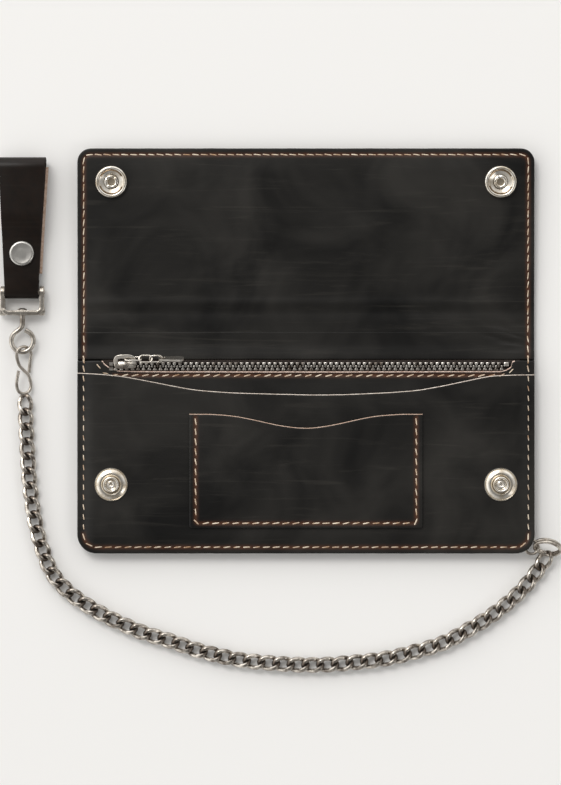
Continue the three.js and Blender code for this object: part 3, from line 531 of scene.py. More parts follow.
pin = [(0.2, -0.25), (0.85, -0.2), (1.0, 0), (1.0, bar_high[0] - bar_low[0])]
pin += [(0.85, bar_high[0] - bar_low[0] + 0.2), (0.2, bar_high[0] - bar_low[0] + 0.25)]
make_piece(
    "clevis_bar",
    [moved(turned(pin, 24), ALONG_X, (bar_low[0], bar_y, swivel_z))],
    [steel],
    "clevis",
    ["strap_bar"],
)

# ---------------------------------------------------------------- Outer leather
# One smooth black bridle leather covers the outside, cut with rounded corners. It is made here as two
# pieces that meet in the middle of the spine.
shell_low, shell_high = box_of("outer_shell_back")
HALF_W = shell_high[0]
LAP = 0.8  # how far the two halves of each leather run past their meeting line
EDGE_Y = shell_low[1]
FOLD_Y = 42.0  # lower fold
UPPER_FOLD_Y = 57.6
FLAP_EDGE_Y = box_of("flap_outer")[1][1]
MEET_Y = (FOLD_Y + UPPER_FOLD_Y) / 2
LOWER_CORNER = 8.0
FLAP_CORNER = 5.7
SHELL_T = 1.72
SEAM_INSET = 2.65
FLAP_TILT = math.radians(1.886)  # the flap's far edge is carried by the snap caps
EDGE_STEPS = np.array([0, 0.05, 0.14, 0.28, 0.5, 0.85, 1.3, 1.8, 2.2, 2.5, 2.8, 3.1, 3.5, 4.3, 5.5, 7.2])


def gentle(x, y, seed, height, shortest=35, longest=90):
    """Low, long waves that a hand-cut leather keeps when it lies down."""
    r = np.random.default_rng(seed)
    total = np.zeros(np.broadcast(x, y).shape)
    for _ in range(6):
        way = r.uniform(0, math.pi)
        k = 2 * math.pi / r.uniform(shortest, longest)
        total += np.sin(k * (x * math.cos(way) + y * math.sin(way)) + r.uniform(0, 6.28))
    return height * total / 6


def away_from(x, y, line):
    """Distance of each point from a polyline."""
    p = np.stack([x.ravel(), y.ravel()], axis=1)
    best = np.full(len(p), 1e9)
    for a, b in zip(line[:-1], line[1:]):
        d = b - a
        t = np.clip(((p - a) @ d) / max(d @ d, 1e-9), 0, 1)
        best = np.minimum(best, np.linalg.norm(p - a - t[:, None] * d, axis=1))
    return best.reshape(x.shape)


def corner_rise(x, half, r):
    """How far a rounded corner lifts the edge at x."""
    inset = np.clip(np.abs(x) - (half - r), 0, r)
    return r - np.sqrt(np.maximum(r * r - inset * inset, 0))


def leather_sheet(
    low, high, half, under, thickness,
    seams=(), raw=(), raw_where=None, raw_rows=4, more=(), soft=0.5, spacing=2.2, wobble=0.05,
):
    """A leather from edge low(x) to edge high(x), with rounded cut edges and sunk seams.

    under(x, y) is its underside. raw names the edges that stay undyed, where raw_where(x) allows it,
    for raw_rows rows of faces. Material numbers: 0 face, 1 dyed edge, 2 raw edge, 3 underside."""
    middle = np.linspace(-half + EDGE_STEPS[-1], half - EDGE_STEPS[-1], round(2 * half / spacing))[1:-1]
    xs = np.concatenate([-half + EDGE_STEPS, middle, half - EDGE_STEPS[::-1], more])
    xs = np.unique(np.round(xs, 3))
    xs = xs[np.concatenate([[True], np.diff(xs) > 0.04])]
    y0, y1 = low(xs), high(xs)
    y0 = y0 + wobble * gentle(xs, 0 * xs + 3, 11, 1, 6, 25)
    y1 = y1 + wobble * gentle(xs, 0 * xs + 9, 12, 1, 6, 25)
    count = round(float((y1 - y0).max()) / spacing)
    room = np.minimum(1, (y1 - y0) / 2 / (EDGE_STEPS[-1] + 0.5))[:, None]
    near = y0[:, None] + EDGE_STEPS * room
    far = y1[:, None] - EDGE_STEPS[::-1] * room
    share = np.linspace(0, 1, count)[1:-1]
    body = near[:, -1:] + (far[:, :1] - near[:, -1:]) * share
    y = np.concatenate([near, body, far], axis=1)
    x = np.broadcast_to(xs[:, None], y.shape)
    nx, ny = y.shape
    edges = {
        "low": np.stack([xs, y0], axis=1),
        "high": np.stack([xs, y1], axis=1),
        "left": np.array([(xs[0], y0[0]), (xs[0], y1[0])]),
        "right": np.array([(xs[-1], y0[-1]), (xs[-1], y1[-1])]),
    }
    inside = np.minimum.reduce([away_from(x, y, line) for line in edges.values()])
    curve = min(soft, thickness * 0.48)
    fall = curve - np.sqrt(np.maximum(curve**2 - np.clip(curve - inside, 0, curve) ** 2, 0))
    seam = np.zeros(y.shape)
    for line in seams:
        seam = np.maximum(seam, np.exp(-((away_from(x, y, line) / 0.8) ** 2)))
    base = under(x, y)
    top = base + thickness - fall - 0.16 * seam**2
    bottom = base + fall + 0.32 * seam**2
    vertices = np.concatenate([np.stack([x, y, z], axis=-1).reshape(-1, 3) for z in (top, bottom)])
    total = nx * ny
    faces, numbers = [], []
    for i in range(nx - 1):
        for j in range(ny - 1):
            a, b, c, d = i * ny + j, (i + 1) * ny + j, (i + 1) * ny + j + 1, i * ny + j + 1
            cut_raw = (
                ("low" in raw and j < raw_rows)
                or ("high" in raw and j >= ny - 1 - raw_rows and (raw_where is None or raw_where(xs[i])))
                or ("left" in raw and i < raw_rows)
                or ("right" in raw and i >= nx - 1 - raw_rows)
            )
            faces.append((a, b, c, d))
            numbers.append(2 if cut_raw else 0)
            faces.append((d + total, c + total, b + total, a + total))
            numbers.append(3)
    walls = {
        "low": [i * ny for i in range(nx)],
        "high": [i * ny + ny - 1 for i in range(nx)],
        "left": list(range(ny)),
        "right": [(nx - 1) * ny + j for j in range(ny)],
    }
    for side, line in walls.items():
        for a, b in zip(line[:-1], line[1:]):
            faces.append((a, b, b + total, a + total))
            pale = side in raw and (raw_where is None or raw_where(xs[a // ny]))
            numbers.append(2 if pale else 1)
    return (vertices, faces, numbers), np.concatenate([seam.ravel(), seam.ravel()])


def rounded_u(half, open_y, end_y, r):
    """A seam's line: from the open end on the left, round two corners, to the open end on the right."""
    way = 1 if end_y > open_y else -1
    turn = [math.radians(a) for a in range(0, 91, 10)]
    left = [(-half + r - r * math.cos(a), end_y - way * (r - r * math.sin(a))) for a in turn]
    line = [(-half, open_y), *left]
    line += [(-x, y) for x, y in reversed(line)]
    return np.array(line)


def lift(y):
    """How far the tilted flap stands above the lower half's level."""
    past = y - UPPER_FOLD_Y - 1.0
    return math.tan(FLAP_TILT) * (np.sqrt(past**2 + 9) + past) / 2


lower_seam = rounded_u(HALF_W - SEAM_INSET, FOLD_Y - 2, EDGE_Y + SEAM_INSET, LOWER_CORNER - SEAM_INSET)
spine_seams = [
    np.array([(side * (HALF_W - SEAM_INSET), FOLD_Y - 2), (side * (HALF_W - SEAM_INSET), MEET_Y)])
    for side in (-1, 1)
]
flap_seam = rounded_u(HALF_W - SEAM_INSET, MEET_Y, FLAP_EDGE_Y - SEAM_INSET, FLAP_CORNER - SEAM_INSET)


def leather_group():
    """Fine grain, pores, long soft marks and seam burnish on waxed leather."""
    group = bpy.data.node_groups.new("waxed_leather", "ShaderNodeTree")
    floats = (("Grain Size", 1500.0), ("Cloud Size", 28.0), ("Mark Size", 130.0), ("Seam", 0.0))
    for name, start in floats:
        group.interface.new_socket(name, in_out="INPUT", socket_type="NodeSocketFloat").default_value = start
    for name in ("Cloud", "Marks", "Burnish", "Height"):
        group.interface.new_socket(name, in_out="OUTPUT", socket_type="NodeSocketFloat")
    given = group.nodes.new("NodeGroupInput")
    result = group.nodes.new("NodeGroupOutput")
    place = add_node(group, "ShaderNodeTexCoord").outputs["Object"]

    def noise(size, detail, roughness, vector=place, distortion=0.0):
        sockets = {"Vector": vector, "Scale": size, "Detail": detail, "Roughness": roughness}
        sockets["Distortion"] = distortion
        return add_node(group, "ShaderNodeTexNoise", None, sockets).outputs[0]

    def maths(operation, a, b):
        return add_node(group, "ShaderNodeMath", {"operation": operation}, {0: a, 1: b}).outputs[0]

    cloud = ranged(group, noise(given.outputs["Cloud Size"], 3.0, 0.55, distortion=0.6), (0.32, 0.7))
    drawn = add_node(
        group, "ShaderNodeMapping", None, {"Vector": place, "Rotation": (0, 0, 0.35), "Scale": (0.18, 2.4, 1)}
    ).outputs[0]
    marks = ranged(group, noise(given.outputs["Mark Size"], 5.0, 0.7, drawn, 0.8), (0.56, 0.72))
    cross = add_node(
        group, "ShaderNodeMapping", None, {"Vector": place, "Rotation": (0, 0, -0.9), "Scale": (0.12, 3.0, 1)}
    ).outputs[0]
    fine_marks = ranged(group, noise(given.outputs["Mark Size"], 4.0, 0.6, cross, 1.2), (0.6, 0.7))
    cells = add_node(
        group,
        "ShaderNodeTexVoronoi",
        {"feature": "SMOOTH_F1"},
        {"Vector": place, "Scale": given.outputs["Grain Size"], "Smoothness": 0.6},
    ).outputs["Distance"]
    pebble = noise(given.outputs["Grain Size"], 4.0, 0.65)
    height = maths("ADD", maths("MULTIPLY", cells, 0.45), maths("MULTIPLY", pebble, 0.75))
    height = maths("SUBTRACT", height, maths("MULTIPLY", fine_marks, 0.25))
    patchy = ranged(group, noise(420.0, 2.0, 0.5), (0.25, 0.62), (0.45, 1.0))
    edge = maths("MULTIPLY", given.outputs["Seam"], patchy)
    group.links.new(cloud, result.inputs["Cloud"])
    group.links.new(maths("MAXIMUM", marks, fine_marks), result.inputs["Marks"])
    group.links.new(edge, result.inputs["Burnish"])
    group.links.new(height, result.inputs["Height"])
    return group


WAXED_LEATHER = leather_group()


def waxed(name, dark, worn, brown, smooth, rough, grain=1500.0, bump=0.05, strength=0.22, gloss=0.3):
    """Smooth waxed leather, a little lighter in clouds and marks and brown beside its seams."""
    made, tree, shader = start_material(name)
    seam = add_node(tree, "ShaderNodeAttribute", {"attribute_name": "seam"})
    skin_of = add_node(
        tree,
        "ShaderNodeGroup",
        {"node_tree": WAXED_LEATHER},
        {"Seam": seam.outputs["Fac"], "Grain Size": grain},
    )
    cloudy = mixed(tree, skin_of.outputs["Cloud"], (*dark, 1), (*worn, 1))
    marked = add_node(
        tree,
        "ShaderNodeMath",
        {"operation": "MULTIPLY"},
        {0: skin_of.outputs["Marks"], 1: 0.3},
    )
    lighter = mixed(tree, marked.outputs[0], cloudy, tuple(min(1, c * 2.2) for c in worn) + (1,))
    burnt = mixed(tree, skin_of.outputs["Burnish"], lighter, (*brown, 1))
    roughness = ranged(tree, skin_of.outputs["Cloud"], (0.0, 1.0), (smooth, rough))
    tree.links.new(burnt, shader.inputs["Base Color"])
    tree.links.new(roughness, shader.inputs["Roughness"])
    tree.links.new(relief(tree, skin_of.outputs["Height"], strength, bump), shader.inputs["Normal"])
    shader.inputs["Specular IOR Level"].default_value = gloss
    return made


def fibrous(name, pale, deep, size=900.0):
    """A cut leather edge: short fibres, pale or dyed."""
    made, tree, shader = start_material(name)
    place = add_node(tree, "ShaderNodeTexCoord").outputs["Object"]
    fibres = add_node(
        tree,
        "ShaderNodeTexNoise",
        None,
        {"Vector": place, "Scale": size, "Detail": 5.0, "Roughness": 0.75},
    ).outputs[0]
    patches = ranged(tree, fibres, (0.3, 0.68))
    tree.links.new(mixed(tree, patches, (*deep, 1), (*pale, 1)), shader.inputs["Base Color"])
    tree.links.new(relief(tree, fibres, 0.6, 0.12), shader.inputs["Normal"])
    shader.inputs["Roughness"].default_value = 0.85
    shader.inputs["Specular IOR Level"].default_value = 0.25
    return made


outer_black = waxed(
    "outer_black_leather", (0.0025, 0.0023, 0.0021), (0.012, 0.011, 0.0095), (0.085, 0.032, 0.015), 0.36, 0.48
)
dyed_edge = fibrous("dyed_cut_edge", (0.02, 0.013, 0.01), (0.006, 0.005, 0.0045))
raw_edge = fibrous("raw_cut_edge", (0.66, 0.52, 0.43), (0.34, 0.2, 0.13))
pale_edge = fibrous("pale_cut_edge", (0.85, 0.78, 0.7), (0.36, 0.28, 0.23), 600.0)
slit_edge = fibrous("slit_cut_edge", (0.85, 0.7, 0.61), (0.48, 0.31, 0.24), 700.0)
flesh = fibrous("leather_flesh_side", (0.05, 0.034, 0.026), (0.02, 0.014, 0.011), 500.0)

panel, seam = leather_sheet(
    lambda x: EDGE_Y + corner_rise(x, HALF_W, LOWER_CORNER),
    lambda x: 0 * x + MEET_Y + LAP,
    HALF_W,
    lambda x, y: 0 * x,
    SHELL_T,
    seams=[lower_seam, *spine_seams],
    spacing=2.0,
)
back_panel = make_piece(
    "back_panel_leather",
    [panel],
    [outer_black, dyed_edge, raw_edge, outer_black],
    replaced=["outer_shell_back", "spine_outer"],
    values={"seam": seam},
)
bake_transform(back_panel)

panel, seam = leather_sheet(
    lambda x: 0 * x + MEET_Y - LAP,
    lambda x: FLAP_EDGE_Y - corner_rise(x, HALF_W, FLAP_CORNER),
    HALF_W,
    lambda x, y: lift(y) + 0.02,
    SHELL_T,
    seams=[flap_seam],
    spacing=2.0,
)
flap_outer = make_piece(
    "flap_leather",
    [panel],
    [outer_black, dyed_edge, raw_edge, outer_black],
    replaced=["flap_outer"],
    values={"seam": seam},
)
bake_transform(flap_outer)

# ---------------------------------------------------------------- Lining
# A thinner smooth black leather lines the flap and the spine and is sewn to the outer leather round
# its edge. It is creased along the upper fold and wrinkled at the right end of the spine.
LINING_T = 1.12
LINING_BASE = SHELL_T + 0.03
CREASE_Y = 62.4
ROLL_Y = 38.7  # where the lining ends, behind the coin pocket's roll
ROLL_RISE = 0.5  # how far the lining climbs there

inner_black = waxed(
    "inner_black_leather", (0.0022, 0.002, 0.0018), (0.017, 0.0155, 0.0132), (0.075, 0.028, 0.013), 0.34, 0.48
)


def wrinkles(x, y):
    """Short creases where the spine is pulled at the right end."""
    r = np.random.default_rng(5)
    total = np.zeros(x.shape)
    for _ in range(9):
        cx, cy = r.uniform(70, 94), r.uniform(43, 56)
        angle, long, wide = r.normal(0, 0.25), r.uniform(4, 9), r.uniform(0.5, 0.9)
        u = (x - cx) * math.cos(angle) + (y - cy) * math.sin(angle)
        v = -(x - cx) * math.sin(angle) + (y - cy) * math.cos(angle)
        total -= 0.22 * np.exp(-((u / long) ** 2) - ((v / wide) ** 2))
    return total


def smooth_rise(y, low, high):
    t = np.clip((y - low) / (high - low), 0, 1)
    return t * t * (3 - 2 * t)


def lining_under(x, y):
    spine_hump = 0.1 * np.exp(-(((y - 52) / 7.0) ** 2))
    ridge = np.exp(-(((y - CREASE_Y) / 1.6) ** 2))
    hollow = np.exp(-(((y - CREASE_Y + 3.5) / 2.2) ** 2))
    crease = 0.3 * ridge - 0.3 * hollow
    side = np.clip((HALF_W - np.abs(x)) / 10, 0, 1)
    free = side**2 * (3 - 2 * side)
    calm = 0.3 + 0.7 * smooth_rise(y, 52, 62)
    swell = free * (spine_hump + crease + calm * (0.35 + gentle(x, y, 21, 0.35))) + wrinkles(x, y)
    far = np.clip((FLAP_EDGE_Y - y) / 10, 0, 1)
    climb = np.clip((46.0 - y) / 7.0, 0, 1)
    over_roll = ROLL_RISE * climb**2 * (3 - 2 * climb)
    return LINING_BASE + lift(y) + over_roll + np.maximum(swell, -0.3) * far**2 * (3 - 2 * far)


def lining_top(x, y):
    return lining_under(x, y) + LINING_T


panel, seam = leather_sheet(
    lambda x: 0 * x + ROLL_Y,
    lambda x: 0 * x + MEET_Y + LAP,
    HALF_W,
    lining_under,
    LINING_T,
    seams=spine_seams,
    spacing=0.9,
)
spine_lining = make_piece(
    "spine_lining_leather",
    [panel],
    [inner_black, dyed_edge, raw_edge, flesh],
    replaced=["spine_lining"],
    values={"seam": seam},
)
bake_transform(spine_lining)

panel, seam = leather_sheet(
    lambda x: 0 * x + MEET_Y - LAP,
    lambda x: FLAP_EDGE_Y - corner_rise(x, HALF_W, FLAP_CORNER),
    HALF_W,
    lambda x, y: lining_under(x, y) - 0.02,
    LINING_T,
    seams=[flap_seam],
    spacing=1.6,
)
flap_lining = make_piece(
    "flap_lining_leather",
    [panel],
    [inner_black, dyed_edge, raw_edge, flesh],
    replaced=["flap_lining"],
    values={"seam": seam},
)
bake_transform(flap_lining)

# ---------------------------------------------------------------- Coin pocket
# One black leather folded over at the top into a roll. Its front is slit for the zip, which leaves a
# pale raw edge, and its sewn sides are pressed thinner than its middle.
POCKET_T = 1.05
BACK_BASE = SHELL_T + 0.03
POCKET_UNDER = 4.05  # underside of the pocket's front where nothing presses it
PINCH = 1.2  # how much lower the front is along its sewn edges
PINCH_W = 7.0
ROLL_CENTRE = (37.6, 2.6)
ROLL_R = 0.95
TAB_PLACE = (93.0, -39.4)
SLOT_Y = 34.05
SLOT_EDGE = [
    (-96, 38.35), (-85.4, 38.35), (-84.6, 37.9), (-83.6, 36.9), (-81.7, 35.6), (-79.5, 34.8), (-76, 34.25),
    (-60, SLOT_Y), (0, SLOT_Y - 0.1), (60, SLOT_Y), (79, SLOT_Y + 0.05), (82.2, 34.4), (84.6, 35.3),
    (86.0, 36.6), (86.8, 38.35), (96, 38.35),
]


def smoothstep(v, low, high):
    t = np.clip((v - low) / (high - low), 0, 1)
    return t * t * (3 - 2 * t)


def from_sewn_edge(x, y):
    """Distance from the sides and the lower edge, with the lower corners rounded."""
    dx = HALF_W - np.abs(x)
    dy = y - EDGE_Y
    r = LOWER_CORNER
    near_corner = r - np.hypot(np.maximum(r - dx, 0), np.maximum(r - dy, 0))
    return np.where((dx < r) & (dy < r), near_corner, np.minimum(dx, dy))


def pinched(x, y):
    """How far the front layers are pressed down: all the way at a sewn edge, but not over the tab."""
    over_tab = np.exp(-(((x - TAB_PLACE[0]) / 8) ** 2) - ((y - TAB_PLACE[1]) / 7) ** 2)
    return PINCH * (1 - smoothstep(from_sewn_edge(x, y), 1.5, PINCH_W)) * (1 - over_tab)


def slot_edge(x):
    line = smooth_line(SLOT_EDGE, 0.3)
    return np.interp(x, line[:, 0], line[:, 1])


def pocket_under(x, y):
    return POCKET_UNDER - pinched(x, y)


def pocket_top(x, y):
    return pocket_under(x, y) + POCKET_T


def in_slot(x):
    return (x > -85.6) & (x < 87.0)


back, back_seam = leather_sheet(
    lambda x: EDGE_Y + corner_rise(x, HALF_W, LOWER_CORNER),
    lambda x: 0 * x + ROLL_CENTRE[0],
    HALF_W,
    lambda x, y: 0 * x + BACK_BASE,
    POCKET_T,
    spacing=4,
)
front, front_seam = leather_sheet(
    lambda x: EDGE_Y + corner_rise(x, HALF_W, LOWER_CORNER),
    slot_edge,
    HALF_W,
    pocket_under,
    POCKET_T,
    seams=[lower_seam[lower_seam[:, 1] < SLOT_Y + 4], np.array([(-80.0, 32.2), (82.0, 32.2)])],
    raw=("high",),
    raw_where=in_slot,
    more=np.concatenate([np.arange(-85.6, -76, 0.5), np.arange(79, 87.2, 0.5)]),
    spacing=2.0,
)
make_piece(
    "coin_pocket_leather",
    [back, front],
    [outer_black, dyed_edge, slit_edge, flesh],
    "wallet",
    ["zip_pocket_leather"],
    values={"seam": np.concatenate([back_seam, front_seam])},
)
turns = np.radians(np.arange(-90, 91, 12))
roll = [
    (ROLL_CENTRE[0] + r * math.cos(a), ROLL_CENTRE[1] + r * math.sin(a))
    for r, way in ((ROLL_R, turns[::-1]), (0.4, turns))
    for a in way
]
roll = np.array(roll)
between = np.arange(-HALF_W + 0.8, HALF_W - 0.5, 1.5)
roll_x = np.concatenate([[-HALF_W, -HALF_W + 0.15], between, [HALF_W - 0.15, HALF_W]])
swell = 0.07 * gentle(roll_x, 0 * roll_x, 31, 1, 8, 40)
sides = smoothstep(HALF_W - np.abs(roll_x), 0, 6)
plump = 1 - 0.14 * (1 - sides)
rings = np.zeros((len(roll_x), len(roll), 3))
rings[..., 0] = roll_x[:, None]
rings[..., 1] = roll[None, :, 0] + swell[:, None]
rings[..., 2] = 1.9 + (roll[None, :, 1] - 1.9) * (plump + swell * 0.5)[:, None]
end_in = np.ones(len(roll_x))
end_in[[0, -1]] = 0.86
middle = rings.mean(axis=1, keepdims=True)
rings[..., 1:] = middle[..., 1:] + (rings[..., 1:] - middle[..., 1:]) * end_in[:, None, None]
make_piece("coin_pocket_roll", [skin(rings)], [outer_black], "wallet")

# ---------------------------------------------------------------- Zip
# A metal zip: two rows of stamped teeth clamped on the corded edges of woven tapes, with wire stops.
ROW_HALF = 1.7
TOOTH_PITCH = 2.33
TOOTH_OVERLAP = 0.5
TOOTH_BASE, TOOTH_TOP = 4.15, 5.65

zip_silver = worn_metal(
    "zip_tooth_metal", (0.72, 0.69, 0.64), (0.12, 0.095, 0.075), 0.2, 0.36, 0.04, recess_shade="recess_shade"
)
tape_cloth, tree, shader = start_material("zip_tape_weave")
place = add_node(tree, "ShaderNodeTexCoord").outputs["Object"]
ribs = [
    add_node(
        tree,
        "ShaderNodeTexWave",
        {"bands_direction": way},
        {"Vector": place, "Scale": 420.0, "Distortion": 1.2, "Detail": 2.0},
    ).outputs["Fac"]
    for way in ("X", "Y")
]
weave = add_node(tree, "ShaderNodeMath", {"operation": "MULTIPLY"}, {0: ribs[0], 1: ribs[1]}).outputs[0]
colour = mixed(tree, weave, (0.012, 0.008, 0.006, 1), (0.05, 0.032, 0.024, 1))
tree.links.new(colour, shader.inputs["Base Color"])
tree.links.new(relief(tree, weave, 0.6, 0.15), shader.inputs["Normal"])
shader.inputs["Roughness"].default_value = 0.9


def restyle(node, material, bevel=0.0):
    """Gives a CAD node a material, and softened edges."""
    shown = bpy.data.objects[node]
    for i in range(len(shown.material_slots)):
        shown.material_slots[i].material = material
    if bevel:
        rounding = shown.modifiers.new("soft_edges", "BEVEL")
        rounding.width = bevel * MM
        rounding.segments = 3
        rounding.limit_method = "ANGLE"
        rounding.angle_limit = math.radians(35)


for node in ("zip_tape_front", "zip_tape_rear"):
    restyle(node, tape_cloth)


def prism(outline, z0, z1, bevel):
    """A flat plate with the given outline and softened upper and lower edges."""
    p = np.array(outline, float)
    middle = p.mean(axis=0)
    span = np.linalg.norm(p - middle, axis=1).mean()
    rings = []
    steps = ((z0, bevel), (z0 + bevel, 0), (z1 - bevel, 0), (z1 - 0.3 * bevel, 0.35 * bevel), (z1, bevel))
    for z, inset in steps:
        scaled = middle + (p - middle) * (1 - inset / span)
        rings.append(np.column_stack([scaled, np.full(len(p), z)]))
    return skin(np.array(rings))


zip_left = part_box("zip_teeth_front")[0][0] / MM
zip_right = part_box("zip_teeth_front")[1][0] / MM
zip_y = (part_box("zip_teeth_front")[0][1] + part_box("zip_teeth_rear")[1][1]) / 2 / MM
rng = np.random.default_rng(17)
for name, side, shift in (("front", -1, 0.0), ("rear", 1, TOOTH_PITCH / 2)):
    parts, painted_shade = [], []
    count = int((zip_right - zip_left) / TOOTH_PITCH)
    for i in range(count):
        x = zip_left + 0.75 + shift + i * TOOTH_PITCH
        if x > zip_right - 2.1:
            continue
        outline = [(0.72, ROW_HALF), (0.66, 0.95), (0.36, 0.4), (0.44, -0.15), (0.2, -TOOTH_OVERLAP)]
        outline = [(-u, v) for u, v in outline[:1]] + outline + [(-u, v) for u, v in outline[:0:-1]]
        drawn = [(x + u + rng.normal(0, 0.02), zip_y + side * v) for u, v in outline]
        top = TOOTH_TOP + rng.normal(0, 0.04)
        tooth = prism(drawn, TOOTH_BASE, top, 0.28)
        parts.append(tooth)
        # Painted shade: each tooth's sides are darker than its top, and the front row is darker all over, as
        # if lit from behind.
        low = np.abs(tooth[0][:, 2] - top) > 0.2
        painted_shade.append(np.clip(low * 0.9 + (0.4 if side < 0 else 0), 0, 1))
    edge_y = zip_y + side * (ROW_HALF - 0.25)
    cord = swept([(zip_left - 1, edge_y, 4.55), (zip_right + 1, edge_y, 4.55)], circle(0.42, 8))
    cord_part = skin(cord)
    parts.append((*cord_part, [1] * len(cord_part[1])))
    painted_shade.append(np.ones(len(cord_part[0])))
    make_piece(
        f"zip_{name}_teeth",
        parts,
        [zip_silver, tape_cloth],
        "wallet",
        [f"zip_teeth_{name}"],
        values={"recess_shade": np.concatenate(painted_shade)},
    )
for node in ("zip_top_stop_front", "zip_top_stop_rear"):
    restyle(node, zip_silver, 0.35)
stop = prism([(-1, -0.9), (1, -0.9), (1, 0.9), (-1, 0.9)], TOOTH_BASE, TOOTH_TOP + 0.25, 0.3)
stop = moved(stop, shift=(zip_right - 0.8, zip_y + 0.9, 0))
bright_stop = worn_metal("stop_nickel", (0.8, 0.77, 0.72), (0.5, 0.46, 0.4), 0.2, 0.35, 0.03)
make_piece("zip_bottom_stop_clip", [stop], [bright_stop], "wallet", ["zip_bottom_stop"])

# ---------------------------------------------------------------- Slider and its pull
# A nickel-plated cast slider with a bent flat bail, three wire links and a stamped tag, all small
# enough to lie on the leather beside the zip.
polished = worn_metal("polished_nickel", (0.74, 0.7, 0.64), (0.5, 0.46, 0.4), 0.13, 0.27, 0.025)
slider_low, slider_high = box_of("zip_slider")
slider_x = (slider_low[0] + slider_high[0]) / 2
half_l, half_s = (slider_high[0] - slider_low[0]) / 2, (slider_high[1] - slider_low[1]) / 2
plan = [(-1, -0.35), (-0.9, -0.62), (-0.6, -0.92), (-0.3, -1), (0.86, -0.9), (1, -0.7)]
plan += [(x, -y) for x, y in reversed(plan)]
body_y = zip_y + 0.6
plan = smooth_line([(slider_x + x * half_l, body_y + y * half_s * 0.58) for x, y in plan], 0.5, closed=True)
body_top = slider_high[2]
slider_body = prism(plan, slider_low[2], body_top, 0.35)
saddle = [(-1.0, -1.1), (1.0, -1.1), (1.5, 0), (1.0, 1.1), (-1.0, 1.1), (-1.5, 0)]
saddle = prism([(slider_x + x, body_y + 0.8 * y) for x, y in saddle], body_top - 0.1, body_top + 0.75, 0.3)
cast = worn_metal("slider_cast_nickel", (0.55, 0.52, 0.47), (0.2, 0.17, 0.14), 0.2, 0.38, 0.04)
make_piece("zip_slider_body", [slider_body, saddle], [cast], "slider", ["zip_slider"])

pull_low, pull_high = box_of("zip_bail")
LEAN = Matrix.Rotation(math.radians(-62), 3, "X")
BAIL_OFFSET = 0.8
BAIL_H = 3.75
bail_half = (pull_high[0] - pull_low[0]) / 2 - 0.45
bail_line = smooth_line(
    [
        (-bail_half, 0, 0.5), (-bail_half, 0, BAIL_H * 0.6), (-bail_half * 0.72, 0, BAIL_H * 0.93),
        (0, 0, BAIL_H), (bail_half * 0.72, 0, BAIL_H * 0.93), (bail_half, 0, BAIL_H * 0.6),
        (bail_half, 0, 0.5),
    ],
    0.4,
)
leaning = np.array([slider_x, zip_y + BAIL_OFFSET, body_top])
bail = moved(skin(swept(bail_line, rounded_bar(0.92, 0.42, 0.3), up=(0, 1.0, 0))), LEAN, leaning)
make_piece("zip_bail_wire", [bail], [polished], "slider", ["zip_bail"])

LINK_WIRE = 0.72
PULL_UP = 2.6  # links' height along the leaning bail
for node, body, start, length, twist in (
    ("pull_link_a", "pull_link", 0.0, 7.0, 0),
    ("pull_link_b", "pull", 6.0, 5.4, 45),
    ("pull_link_c", "pull", 10.4, 5.4, 90),
):
    r = 1.5
    turn = np.radians(np.arange(0, 360, 12))
    along = r * np.cos(turn) + np.sign(np.cos(turn)) * (length / 2 - r)
    oval = np.stack([along, r * np.sin(turn), 0 * turn], axis=1)
    link = skin(swept(oval, circle(LINK_WIRE / 2, 10), closed=True), closed=True)
    link = moved(link, Matrix.Rotation(math.radians(twist), 3, "X"), (start + length / 2, 0, PULL_UP))
    make_piece(node + "_wire", [moved(link, LEAN, leaning)], [polished], body, [node])
restyle("pull_tag", polished, 0.22)

# ---------------------------------------------------------------- Bill pocket's front
# A black leather panel over the coin pocket. Its wide scooped mouth is left raw and pale, and it is
# sewn through all the layers along its sides and lower edge.
FRONT_T = 1.25
MOUTH = [
    (-96, 33.3), (-91.7, 33.2), (-82, 32.5), (-74.2, 31.5), (-60.8, 29.0), (-47.5, 26.5), (-34.2, 25.3),
    (-17.9, 24.7), (10, 24.25), (39.2, 25.5), (52.9, 27.2), (66.7, 30.0), (77.1, 32.0), (87.5, 32.5),
    (96, 32.6),
]
mouth_line = smooth_line(MOUTH, 0.8)


def mouth(x):
    return np.interp(x, mouth_line[:, 0], mouth_line[:, 1])


def front_under(x, y):
    bulge = 0.12 * smoothstep(from_sewn_edge(x, y), 3, 20) * (1 + gentle(x, y, 41, 1))
    return pocket_top(x, y) + 0.03 + bulge


def front_top(x, y):
    return front_under(x, y) + FRONT_T


panel, seam = leather_sheet(
    lambda x: EDGE_Y + corner_rise(x, HALF_W, LOWER_CORNER),
    mouth,
    HALF_W,
    front_under,
    FRONT_T,
    seams=[lower_seam[lower_seam[:, 1] < 33]],
    raw=("high",),
    raw_rows=3,
    spacing=2.0,
)
make_piece(
    "bill_pocket_leather",
    [panel],
    [inner_black, dyed_edge, pale_edge, flesh],
    "wallet",
    ["front_panel"],
    values={"seam": seam},
)

# ---------------------------------------------------------------- Card pocket
# A small patch of the same leather, sewn on three sides, with a soft V in its open top.
CARD_HALF = 48.55
CARD_TOP = 16.2
CARD_BOTTOM = -31.4
CARD_DIP = 5.8
CARD_SEAM_X = 45.9
CARD_SEAM_Y = -29.3


def card_mouth(x):
    near = np.clip(1 - np.abs(x + 0.4) / (CARD_HALF * 0.9), 0, 1)
    return CARD_TOP - CARD_DIP * (0.55 * smoothstep(near, 0, 1) + 0.45 * smoothstep(near, 0.25, 1))


def card_edge(x, y):
    return np.minimum(CARD_HALF - np.abs(x), y - CARD_BOTTOM)


def card_under(x, y):
    room = smoothstep(card_edge(x, y), 2.5, 14)
    return front_top(x, y) + 0.03 + 0.3 * room * (1 + 0.6 * gentle(x, y, 52, 1))


def card_top(x, y):
    return card_under(x, y) + POCKET_T


